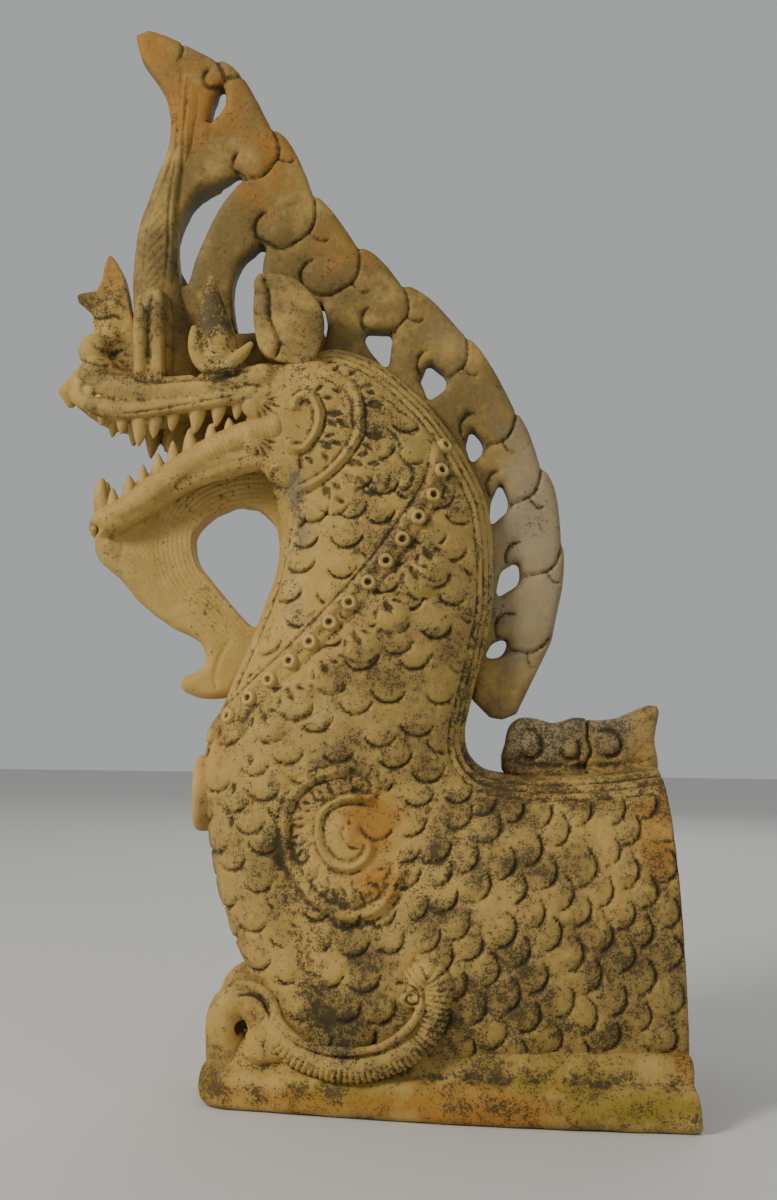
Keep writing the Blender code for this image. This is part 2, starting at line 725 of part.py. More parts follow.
# Ornament laid on the sides
STRAP_LINE = ((-2, 394), (-7, 365), (-24, 337), (-45, 308), (-70, 280), (-96, 254), (-123, 229),
              (-142, 212), (-149, 204))
STRAP_STEP = 17.5
SLOPE_REACH = 4.0
RAIL_OFFSET = 9.5
RAIL_RISE = 3.8
SCROLL_CENTRE = (-64, 142)
CHEEK_CENTRE = (-92, 408)
# these stand clear of the body, so their third number is the distance to the side
BAND_LINE = ((-106, 28, 50), (-94, 15, 58), (-75, 7, 66), (-50, 6, 73), (-26, 15, 77),
             (-11, 27, 78), (-5, 44, 78), (-4, 57, 78), (-10, 64, 78), (-19, 57, 78))
ARCH_LINE = ((-135, -4, 36), (-136, 25, 38), (-131, 37, 40), (-122, 40, 42), (-114, 34, 44),
             (-111, 22, 45), (-113, 6, 45))


def spiral(centre, outer, inner, start, turns, count):
    """Points of a flat spiral in the side view, in parts."""
    points = []
    for step in range(count):
        t = step / (count - 1)
        angle = math.radians(start) + 2 * math.pi * turns * t
        radius = outer + (inner - outer) * t ** 0.8
        points.append((centre[0] + radius * math.cos(angle), centre[1] + radius * math.sin(angle)))
    return points


def laid(points, side, find, lift, fallback=0.0):
    """Side-view points set on the trunk's surface, lifted off it."""
    line = []
    for x, z in points:
        place = figure(x, z)
        place.y = side * (find(x, z, fallback) + lift)
        line.append(place)
    return line


def build_ornament(find, collection):
    strap = even_line([(x, z, 0) for x, z in STRAP_LINE], STRAP_STEP)
    for side in (-1.0, 1.0):
        beads = laid([(p.x, p.y) for p in strap], side, find, 0.0)
        for number, (place, here) in enumerate(zip(beads, strap)):
            beside = find(here.x + SLOPE_REACH, here.y) - find(here.x - SLOPE_REACH, here.y)
            above = find(here.x, here.y + SLOPE_REACH) - find(here.x, here.y - SLOPE_REACH)
            span = 2 * SLOPE_REACH * UNIT
            out = Vector((-beside / span, side, -above / span)).normalized()
            cone(f"bead_{number}", place - out * BEAD_ROOT, place + out * BEAD_HEIGHT,
                 BEAD_DIAMETER / 2, collection, sides=5, tip_radius=0.8 * BEAD_DIAMETER / 2)
        rail = [(p.x - RAIL_OFFSET, p.y + RAIL_RISE) for p in strap[::2]]
        line = laid(rail, side, find, 0.0)
        rope("strap_rail", line, [STRAP_RAIL] * len(line), collection, sides=4)
        scroll = spiral(SCROLL_CENTRE, 41, 12, 50, 1.35, 15)
        line = laid(scroll, side, find, 0.0)
        rope("shoulder_scroll", line, [4.5 * UNIT] * len(line), collection, sides=4)
        cheek = spiral(CHEEK_CENTRE, 33, 31, -100, 0.47, 6)
        line = laid(cheek, side, find, -0.001, 0.9 * HEAD_HALF * UNIT)
        rope("cheek_rim", line, [4.5 * UNIT] * len(line), collection, sides=4)
        inner = spiral((CHEEK_CENTRE[0] - 6, CHEEK_CENTRE[1] + 2), 14, 13, -110, 0.6, 5)
        line = laid(inner, side, find, -0.001, 0.9 * HEAD_HALF * UNIT)
        rope("cheek_scroll", line, [4 * UNIT] * len(line), collection, sides=4)
        band = even_line(BAND_LINE, 9.0)
        line = [figure(x, z, side * y) for x, z, y in band]
        radii = [BAND_WIDTH / 2 * (1.0 if i % 2 else 0.86) for i in range(len(line))]
        rope("ribbed_band", line, radii, collection, sides=6)
        arch = smooth_line([figure(x, z, side * y) for x, z, y in ARCH_LINE], 9)
        rope("arch_curl", arch, [ARCH_RADIUS] * len(arch), collection, sides=6)
        ball("curl_root", figure(-102, 14, side * 46), [CURL_ROOT] * 3, collection, 8, 5)
    disc_back = figure(-146, 166)
    cone("breast_disc", disc_back, disc_back - Vector((DISC_THICKNESS + 4 * UNIT, 0, 0)),
         DISC_DIAMETER / 2, collection, sides=18, tip_radius=DISC_DIAMETER / 2)


def clay_material():
    material = bpy.data.materials.new("fired_clay")
    material.use_nodes = True
    shader = material.node_tree.nodes["Principled BSDF"]
    shader.inputs["Base Color"].default_value = TERRACOTTA
    shader.inputs["Roughness"].default_value = 0.85
    shader.inputs["Metallic"].default_value = 0.0
    return material


def main():
    clear_scene()
    finished = new_collection("ridge_beast_ornament")
    clay = new_collection("clay_additions")
    cutters = new_collection("groove_tools")
    beast = build_trunk(finished)
    find = side_finder(beast)
    build_slab(clay)
    build_upper_head(clay)
    build_lower_jaw(clay)
    build_teeth(clay)
    build_head_horns(clay)
    build_crest(clay, cutters)
    build_blade(clay)
    build_fin(clay)
    build_ornament(find, clay)
    join_all(beast, clay, "UNION")
    settle(beast)
    beast.data.materials.append(clay_material())
    beast.data.shade_smooth()
    beast.data.set_sharp_from_angle(angle=math.radians(40))


main()
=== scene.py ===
import math

import bpy
import numpy as np
from mathutils import Matrix, Vector
from mathutils.bvhtree import BVHTree


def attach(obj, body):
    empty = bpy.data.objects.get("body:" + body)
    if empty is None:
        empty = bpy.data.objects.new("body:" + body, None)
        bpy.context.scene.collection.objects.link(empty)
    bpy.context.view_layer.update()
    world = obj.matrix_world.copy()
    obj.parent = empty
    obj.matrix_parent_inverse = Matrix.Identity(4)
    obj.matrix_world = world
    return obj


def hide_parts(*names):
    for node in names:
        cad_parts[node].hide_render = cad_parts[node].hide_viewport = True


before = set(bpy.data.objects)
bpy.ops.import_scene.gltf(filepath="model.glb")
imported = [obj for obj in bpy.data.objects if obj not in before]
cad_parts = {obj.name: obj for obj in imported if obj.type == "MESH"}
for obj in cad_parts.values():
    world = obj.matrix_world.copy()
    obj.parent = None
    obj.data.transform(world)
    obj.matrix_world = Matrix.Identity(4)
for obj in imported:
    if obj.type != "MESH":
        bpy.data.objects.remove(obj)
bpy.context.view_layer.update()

# Looks of the ridge beast. Shapes are worked out in parts: 1 part is 1 mm, x and y
# as in the frame, z counted from the top of the slab, as in the source of the solids.
UNIT = 0.001
SLAB_TOP = 25.0
SLAB_REAR = 153.0
SIDES = (-1.0, 1.0)
rng = np.random.default_rng(11)


def stood(name, data):
    """A new object of the scene that shows the data."""
    made = bpy.data.objects.new(name, data)
    bpy.context.scene.collection.objects.link(made)
    return made


def final_mesh(made):
    """The object's mesh as its modifiers leave it; the object itself is removed."""
    bpy.context.view_layer.update()
    mesh = bpy.data.meshes.new_from_object(made.evaluated_get(bpy.context.evaluated_depsgraph_get()))
    bpy.data.objects.remove(made, do_unlink=True)
    return mesh


def smooth_step(value, low, high):
    t = np.clip((value - low) / (high - low), 0, 1)
    return t * t * (3 - 2 * t)


def rounded(value, power):
    """A power that keeps the sign: it fills out the corners of an oval."""
    return np.sign(value) * np.abs(value) ** power


# Lines, as points in the side view


def curve(points, count):
    """Catmull-Rom line through the points."""
    p = np.array(points, float)
    padded = np.vstack([2 * p[0] - p[1], p, 2 * p[-1] - p[-2]])
    u = np.linspace(0, len(p) - 1, count)
    i = np.minimum(u.astype(int), len(p) - 2)
    t = (u - i)[:, None]
    a, b, c, d = padded[i], padded[i + 1], padded[i + 2], padded[i + 3]
    return 0.5 * (2 * b + (c - a) * t + (2 * a - 5 * b + 4 * c - d) * t * t
                  + (3 * b - a - 3 * c + d) * t ** 3)


def even(points, spacing):
    """The same line cut into equal steps."""
    fine = curve(points, 24 * len(points))
    run = np.concatenate([[0], np.cumsum(np.linalg.norm(np.diff(fine, axis=0), axis=1))])
    want = np.linspace(0, run[-1], max(2, round(run[-1] / spacing)) + 1)
    return np.column_stack([np.interp(want, run, fine[:, k]) for k in range(fine.shape[1])])


def closed(points, count):
    """Smooth closed line through the points."""
    p = list(points)
    return curve(p[-2:] + p + p[:2], count * (len(p) + 3) // len(p))[count // len(p) * 2:-(count // len(p))]


def around(count):
    """Angles once round a circle."""
    return np.linspace(0, 2 * math.pi, count, endpoint=False)


def swollen(line, centre, wide, high):
    """The line drawn larger or smaller about a centre."""
    return [(centre[0] + (x - centre[0]) * wide, centre[1] + (z - centre[1]) * high) for x, z in line]


def on_side(points, side):
    """Points given as x, z and distance from the middle plane, laid on one side."""
    return [(x, side * y, z) for x, z, y in points]


def spiral(centre, outer, inner, start, turns, count=40):
    """Part of a spiral, from an outer to an inner radius; start is an angle in degrees."""
    t = np.linspace(0, 1, count)
    angle = math.radians(start) + 2 * math.pi * turns * t
    radius = outer + (inner - outer) * t ** 0.8
    return np.column_stack([centre[0] + radius * np.cos(angle), centre[1] + radius * np.sin(angle)])


def bulged(start, end, bulge, steps=12):
    """Line from start to end that bulges to one side."""
    start, end = np.array(start, float), np.array(end, float)
    side = np.array([end[1] - start[1], start[0] - end[0]])
    side /= np.linalg.norm(side)
    t = np.arange(steps)[:, None] / steps
    return start + (end - start) * t - side * bulge * np.sin(math.pi * t ** 0.65)


def slot(spine, widths, steps=14):
    """Outline of an opening along a spine, with its half widths."""
    line = curve([(x, z, w) for (x, z), w in zip(spine, widths)], steps)
    ahead = np.gradient(line[:, :2], axis=0)
    across = np.column_stack([-ahead[:, 1], ahead[:, 0]])
    across /= np.linalg.norm(across, axis=1)[:, None]
    across *= np.maximum(line[:, 2:], 0.7)
    return np.vstack([line[:, :2] + across, (line[:, :2] - across)[::-1]])


# Closed starting shapes, each a pair of vertices and faces

def loft(rings):
    """Closed form through a row of rings."""
    rings = np.array(rings, float)
    count, sides = rings.shape[:2]
    faces = [tuple(range(sides)), tuple(range((count - 1) * sides, count * sides))]
    for r in range(count - 1):
        for i in range(sides):
            a, b = r * sides + i, r * sides + (i + 1) % sides
            faces.append((a, b, b + sides, a + sides))
    return rings.reshape(-1, 3), faces


def tube(points, radii, sides=20, flat=1.0):
    """Round form along a line; flat is its thickness across the side view."""
    p = np.array(points, float)
    r = np.broadcast_to(radii, len(p)).astype(float)
    ahead = np.gradient(p, axis=0)
    ahead /= np.linalg.norm(ahead, axis=1)[:, None]
    p = np.vstack([p[0] - ahead[0] * r[0] * 0.45, p, p[-1] + ahead[-1] * r[-1] * 0.45])
    ahead = np.vstack([ahead[0], ahead, ahead[-1]])
    r = np.concatenate([[r[0] * 0.6], r, [r[-1] * 0.6]])
    u = np.array([0.0, 1.0, 0.0]) if abs(ahead[0, 1]) < 0.8 else np.array([1.0, 0.0, 0.0])
    angle = around(sides)
    rings = []
    for here, t, radius in zip(p, ahead, r):
        u = u - t * u.dot(t)
        u /= np.linalg.norm(u)
        v = np.cross(t, u)
        rings.append(here + radius * (np.cos(angle)[:, None] * u * flat + np.sin(angle)[:, None] * v))
    return loft(rings)


def ball(centre, radii, sides=28):
    a = around(sides)
    rings = []
    for lat in np.linspace(-0.497 * math.pi, 0.497 * math.pi, sides // 2):
        rings.append(np.column_stack([np.cos(a) * math.cos(lat), np.full(sides, math.sin(lat)),
                                      np.sin(a) * math.cos(lat)]) * radii + centre)
    return loft(rings)


def plate(outline, half, holes=(), y=0.0):
    """Flat form cut to an outline in the side view, with through holes."""
    shape = bpy.data.curves.new("outline", "CURVE")
    shape.dimensions = "2D"
    shape.fill_mode = "BOTH"
    shape.extrude = half
    for ring in [outline] + list(holes):
        spline = shape.splines.new("POLY")
        spline.points.add(len(ring) - 1)
        for point, (a, b) in zip(spline.points, ring):
            point.co = (a, b, 0.0, 1.0)
        spline.use_cyclic_u = True
    mesh = final_mesh(stood("outline", shape))
    verts = np.array([v.co for v in mesh.vertices])
    faces = [tuple(p.vertices) for p in mesh.polygons]
    return np.column_stack([verts[:, 0], y - verts[:, 2], verts[:, 1]]), faces


# Fine meshes

def links(quads, count):
    """Each point's neighbours along the quads' edges, and their number."""
    a = quads.ravel()
    b = np.roll(quads, -1, axis=1).ravel()
    return a, b, np.maximum(np.bincount(a, minlength=count), 1)


def averaged(values, link, times=1):
    """Values drawn towards those of their neighbours."""
    a, b, count = link
    for _ in range(times):
        values = 0.5 * values + 0.5 * np.column_stack(
            [np.bincount(a, values[b, k], len(count)) for k in range(values.shape[1])]) / count[:, None]
    return values


def normals_of(v, quads):
    across = np.cross(v[quads[:, 2]] - v[quads[:, 0]], v[quads[:, 3]] - v[quads[:, 1]])
    n = np.column_stack([sum(np.bincount(quads[:, k], across[:, axis], len(v)) for k in range(4))
                         for axis in range(3)])
    return n / np.maximum(np.linalg.norm(n, axis=1), 1e-12)[:, None]


def fused(shapes, voxel, soften=4):
    """Closed shapes made one skin of small even quads, with its hard steps softened."""
    verts, faces, base = [], [], 0
    for v, f in shapes:
        verts.append(v)
        faces += [tuple(int(i) + base for i in face) for face in f]
        base += len(v)
    mesh = bpy.data.meshes.new("raw")
    mesh.from_pydata((np.vstack(verts) * UNIT).tolist(), [], faces)
    made = stood("raw", mesh)
    step = made.modifiers.new("skin", "REMESH")
    step.mode = "VOXEL"
    step.voxel_size = voxel * UNIT
    step.adaptivity = 0.0
    skin = final_mesh(made)
    v = np.empty(3 * len(skin.vertices))
    skin.vertices.foreach_get("co", v)
    quads = np.empty(len(skin.loops), int)
    skin.loops.foreach_get("vertex_index", quads)
    quads = quads.reshape(-1, 4)
    v = v.reshape(-1, 3) / UNIT
    return averaged(v, links(quads, len(v)), soften), quads


def thinned(mesh, share):
    """The same skin with fewer triangles where it is plain."""
    holder = stood("thinning", mesh)
    step = holder.modifiers.new("thin", "DECIMATE")
    step.ratio = share
    result = final_mesh(holder)
    bpy.data.meshes.remove(mesh)
    return result


class Relief:
    """Height and painted shade of grooves and cuts gathered over a skin, from lines and shapes in the side
    view.
    """

    def __init__(self, v, quads):
        self.v, self.quads = v, quads
        self.p = v[:, [0, 2]]
        self.h = np.zeros(len(v))
        self.painted_shade = np.zeros(len(v))

    def near(self, line, reach):
        """Points within reach of a line: their numbers, distances and places along it."""
        line = np.array(line, float)
        low, high = line.min(0) - reach, line.max(0) + reach
        idx = np.nonzero(((self.p > low) & (self.p < high)).all(1))[0]
        best = np.full(len(idx), 1e9)
        place = np.zeros(len(idx))
        q = self.p[idx]
        for i, (a, b) in enumerate(zip(line, line[1:])):
            ab = b - a
            t = np.clip(((q - a) @ ab) / max(ab @ ab, 1e-9), 0, 1)
            d = np.linalg.norm(q - a - t[:, None] * ab, axis=1)
            closer = d < best
            best[closer] = d[closer]
            place[closer] = (i + t[closer]) / (len(line) - 1)
        keep = best < reach
        return idx[keep], best[keep], place[keep]

    def line(self, points, width, height, painted_shade=0.0, fade=0.12, where=None):
        """A raised bead or, with a height below 0, a groove along a line."""
        idx, d, t = self.near(points, 3.0 * width)
        ends = np.clip(np.minimum(t, 1 - t) / fade, 0, 1) ** 0.7 if fade else 1.0
        shape = np.exp(-(d / width) ** 2) * ends
        if where is not None:
            shape = shape * where[idx]
        self.h[idx] += height * shape
        # painted shade along the groove, darkest in its middle
        if painted_shade:
            soft = np.exp(-(d / (1.3 * width)) ** 2) * ends * (1.0 if where is None else where[idx])
            self.painted_shade[idx] = np.maximum(self.painted_shade[idx], painted_shade * soft)

    def along(self, line, reach):
        """Signed distances from a line, positive to its left, and lengths along it."""
        line = np.array(line, float)
        idx, d, t = self.near(line, reach)
        run = np.concatenate([[0], np.cumsum(np.linalg.norm(np.diff(line, axis=0), axis=1))])
        at = t * (len(line) - 1)
        k = np.minimum(at.astype(int), len(line) - 2)
        ahead = line[k + 1] - line[k]
        off = self.p[idx] - line[k]
        left = np.sign(ahead[:, 0] * off[:, 1] - ahead[:, 1] * off[:, 0])
        return idx, d * left, np.interp(at, np.arange(len(line)), run)

    def dome(self, centre, radius, height, squareness=2.0):
        """A soft mound or, with a height below 0, a dent."""
        d = np.linalg.norm(self.p - centre, axis=1) / radius
        self.h += height * np.exp(-d ** squareness)

    def almond(self, centre, angle, length, width, depth, painted_shade=0.8):
        """A leaf-shaped cut."""
        c, s = math.cos(math.radians(angle)), math.sin(math.radians(angle))
        q = self.p - centre
        u, w = (q[:, 0] * c + q[:, 1] * s) / (1.15 * length), (q[:, 1] * c - q[:, 0] * s) / (1.5 * width)
        inside = np.clip(1 - np.abs(w) - u * u, 0, 1)
        self.h -= depth * inside ** 0.8
        # painted shade inside the cut
        self.painted_shade = np.maximum(self.painted_shade, painted_shade * np.clip(inside * 2.2, 0, 1))

    def strokes(self, table, where=None):
        """Smooth lines from a table of points, steps, width, height and painted groove shade."""
        for points, steps, width, height, painted_shade in table:
            self.line(curve(points, steps), width, height, painted_shade, where=where)


def thin_edge(relief, ring):
    """Share of its thickness that a plate keeps towards its rounded edge."""
    idx, d, _ = relief.near(np.vstack([ring, ring[:1]]), 8)
    squeeze = np.ones(len(relief.v))
    squeeze[idx] = 0.6 + 0.4 * np.sqrt(1 - (1 - np.clip(d / 7, 0, 1)) ** 2)
    return squeeze


# Patina and painted shade

def spots(v, table):
    """Soft patches in the side view: x, z, reach in x and z, strength."""
    value, less = np.zeros(len(v)), np.zeros(len(v))
    for x, z, rx, rz, strength in table:
        patch = strength * np.exp(-((v[:, 0] - x) / rx) ** 2 - ((v[:, 2] - z) / rz) ** 2)
        value = np.maximum(value, patch)
        less = np.minimum(less, patch)
    return value + less


# Patches of black specks, red and mossy stains, grey stains with painted shade on the crest's gap walls, and
# ash-grey skin:
# x, z, reach in x and z, strength.
BLACKENED = (
    (-66, 30, 20, 40, 0.28), (-84, 70, 14, 40, 0.26), (-100, 10, 26, 18, 0.18), (30, 198, 24, 18, 0.32),
    (24, 250, 14, 70, 0.2), (70, 214, 60, 14, 0.2), (26, 40, 40, 40, 0.2), (88, 30, 40, 18, 0.16),
    (110, 70, 30, 50, 0.14), (-95, 372, 30, 16, 0.14), (0, 120, 34, 60, 0.14), (-100, 150, 10, 30, 0.26),
    (-78, 166, 12, 14, 0.14), (-130, 120, 14, 70, 0.1), (-56, 122, 24, 22, -0.2), (-20, 350, 40, 60, 0.05),
    (40, 100, 30, 50, 0.12), (-137, -13, 9, 7, 0.6), (-115, -14, 12, 8, 0.6), (-100, -11, 8, 6, 0.5),
    (-86, -10, 9, 6, 0.5), (-68, -9, 8, 6, 0.5), (148, -16, 8, 6, 0.5), (136, -19, 6, 4, 0.4),
    (20, -12, 30, 5, 0.2), (-20, 6, 60, 5, 0.25), (70, 5, 80, 4, 0.22), (-153, 476, 14, 28, 0.62),
    (-153, 448, 24, 16, 0.3), (-180, 438, 50, 6, 0.3), (-226, 484, 14, 22, 0.45), (70, 172, 90, 12, 0.22),
    (-60, 437, 40, 10, 0.2), (-40, 395, 24, 30, 0.16), (112, 214, 30, 14, 0.22))
REDDENED = (
    (-44, 152, 24, 24, 1.0), (-40, 120, 18, 18, 0.8), (-90, -14, 120, 11, 0.85), (10, -14, 70, 16, 0.95),
    (-130, 34, 26, 22, 0.5), (130, 150, 26, 40, 0.6), (100, 110, 50, 60, 0.3), (80, 172, 70, 16, 0.42),
    (-226, 515, 14, 34, 0.6), (-155, 500, 10, 14, 0.4), (140, 10, 24, 20, 0.5), (-140, 190, 16, 34, 0.5),
    (-160, 340, 30, 40, 0.2), (-205, 668, 30, 26, 0.8), (-175, 630, 60, 50, 0.62),
    (-110, 590, 60, 50, 0.58), (-60, 540, 50, 34, 0.5), (-20, 490, 40, 30, 0.4), (-215, 362, 40, 24, 0.4),
    (-190, 440, 60, 26, 0.22), (-30, 190, 40, 20, 0.3), (-60, 240, 50, 40, 0.22))
MOSSY = ((120, -10, 76, 14, 0.8), (70, 2, 70, 12, 0.7), (60, 34, 70, 20, 0.45), (-70, -8, 100, 16, 0.7),
         (-150, -10, 40, 18, 0.5), (10, 260, 24, 60, 0.25), (-100, 60, 30, 60, 0.2), (60, 10, 100, 12, 0.6),
         (-110, 4, 50, 16, 0.45))
GREY_PATCHES_AND_WALL_SHADE = (
    (-97, 366, 10, 18, 0.9), (-92, 336, 10, 22, 0.7), (-126, 424, 9, 10, 0.5), (-172, 528, 16, 54, 0.5),
    (-116, 500, 14, 40, 0.3), (-66, 20, 16, 26, 0.45), (150, -18, 14, 8, 0.5), (-80, 200, 40, 30, 0.2))
ASHEN = ((58, 330, 34, 110, 1.0), (10, 470, 50, 40, 0.45), (-60, 520, 40, 30, 0.2), (60, 208, 60, 26, 0.6),
         (112, 214, 36, 22, 0.6), (-96, 300, 20, 60, 0.35))
# Where the brown film is thin.
CLEAN = (
    (-52, 130, 32, 34, 0.5), (-110, 415, 40, 40, 0.35), (-110, 320, 24, 60, 0.2), (-120, 230, 40, 30, 0.15))
# Speckles and brown film that a piece carries all over.
COAT = {"neck": (0.20, 0.30), "breast": (0.24, 0.42), "body": (0.27, 0.52), "slab": (0.24, 0.46),
        "upper_head": (0.14, 0.42), "teeth": (0.14, 0.45), "ears": (0.12, 0.55), "cheeks": (0.20, 0.30),
        "jaw_and_beard": (0.02, 0.0), "crest": (0.05, 0.72), "front_plume": (0.06, 0.62),
        "back_fin": (0.28, 0.62), "strap_beads": (0.16, 0.35), "side_curls": (0.22, 0.42),
        "breast_disc": (0.14, 0.45)}


# How far the painted shade of a hollow darkens where no groove shade is painted, from 0 to 1.
HOLLOW_LIMIT = 0.62
# The share of its triangles that a carved piece keeps.
KEPT = {"slab": 0.35, "upper_head": 0.55, "teeth": 0.45, "cheeks": 0.55, "jaw_and_beard": 0.5, "crest": 0.5,
        "front_plume": 0.5, "strap_beads": 0.6, "side_curls": 0.42}


def finished(name, v, quads, painted_shade=None, hollow_scale=1.4, normals=None, hollow=None, stain_and_wall_shade=0.0):
    """Turn a skin into a piece of the object, with its patina and painted shade in two vertex colours:
    painted hollow shade, specks, red and moss in one, film, grey stain with painted wall shade, and ash in the
    other."""
    link = links(quads, len(v))
    if normals is None:
        normals = normals_of(v, quads)
    if hollow is None:
        hollow = hollow_of(v, normals, link)
    # painted shade: hollows of the skin and the painted groove shade darken the colour
    recess = np.clip(hollow / hollow_scale, -1, HOLLOW_LIMIT)
    if painted_shade is not None:
        recess = np.maximum(recess, painted_shade)
    speckle, film = COAT[name]
    colour = np.column_stack([0.5 + 0.5 * recess, speckle + spots(v, BLACKENED), spots(v, REDDENED),
                              spots(v, MOSSY)]).astype(np.float32)
    tone = np.column_stack([film - spots(v, CLEAN), np.maximum(spots(v, GREY_PATCHES_AND_WALL_SHADE), stain_and_wall_shade), spots(v, ASHEN),
                            np.ones(len(v))]).astype(np.float32)
    mesh = bpy.data.meshes.new(name)
    mesh.vertices.add(len(v))
    metres = (v + [0, 0, SLAB_TOP]) * UNIT
    metres[:, 2] = np.maximum(metres[:, 2], 0)
    mesh.vertices.foreach_set("co", metres.astype(np.float32).ravel())
    mesh.loops.add(quads.size)
    mesh.loops.foreach_set("vertex_index", quads.astype(np.int32).ravel())
    mesh.polygons.add(len(quads))
    mesh.polygons.foreach_set("loop_start", np.arange(0, quads.size, 4, dtype=np.int32))
    mesh.update(calc_edges=True)
    mesh.validate()
    for label, value in (("patina_and_shade", colour), ("tone", tone)):
        layer = mesh.color_attributes.new(label, "FLOAT_COLOR", "POINT")
        layer.data.foreach_set("color", value.ravel())
    if name in KEPT:
        mesh = thinned(mesh, KEPT[name])
        mesh.name = name
        mesh.shade_smooth()
    else:
        mesh.shade_smooth()
        mesh.normals_split_custom_set_from_vertices(normals.tolist())
    piece = stood(name, mesh)
    mesh.materials.append(clay)
    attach(piece, "root")
    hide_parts("ridge_beast")


def hollow_of(v, normals, link):
    """How deep each point lies below its close and its wider surroundings."""
    near = averaged(v, link, 10) - v
    wide = averaged(v, link, 45) - v
    return (near * normals).sum(1) * 1.6 + (wide * normals).sum(1) * 0.35


def worn(v, normals, amount=0.35):
    """Unevenness of hand-worked clay: a few layers of soft waves."""
    value = np.zeros(len(v))
    for size, share in ((31.0, 1.0), (13.0, 0.5), (6.0, 0.25)):
        for _ in range(3):
            way = rng.normal(size=3)
            way /= np.linalg.norm(way) * size / (2 * math.pi)
            value += share * np.sin(v @ way + rng.uniform(0, 6.28))
    return v + normals * (value * amount / 3)[:, None]


def carved(name, v, quads, relief=None, amount=0.35, hollow_scale=1.4, stain_and_wall_shade=0.0):
    """Finish a skin with its relief and some wear."""
    n = normals_of(v, quads)
    painted_shade = None
    if relief is not None:
        v = v + n * relief.h[:, None]
        painted_shade = relief.painted_shade
    v = worn(v, n, amount)
    finished(name, v, quads, painted_shade, hollow_scale, stain_and_wall_shade=stain_and_wall_shade)


# Fired clay

CLAY = (0.46, 0.295, 0.078)
DEEP_CLAY = (0.39, 0.255, 0.068)
LIGHT_CLAY = (0.56, 0.385, 0.125)
WORN_CLAY = (0.57, 0.39, 0.13)
RED_CLAY = (0.38, 0.165, 0.020)
BROWN_FILM = (0.158, 0.103, 0.027)
MOSS = (0.27, 0.18, 0.014)
GREY_STAIN_AND_WALL_SHADE = (0.105, 0.115, 0.088)
ASH = (0.36, 0.285, 0.175)
# colour of the painted shade in hollows and grooves
HOLLOW_SHADE = (0.050, 0.037, 0.017)
SPECKS_AND_HOLLOW_SHADE = (0.052, 0.038, 0.017)


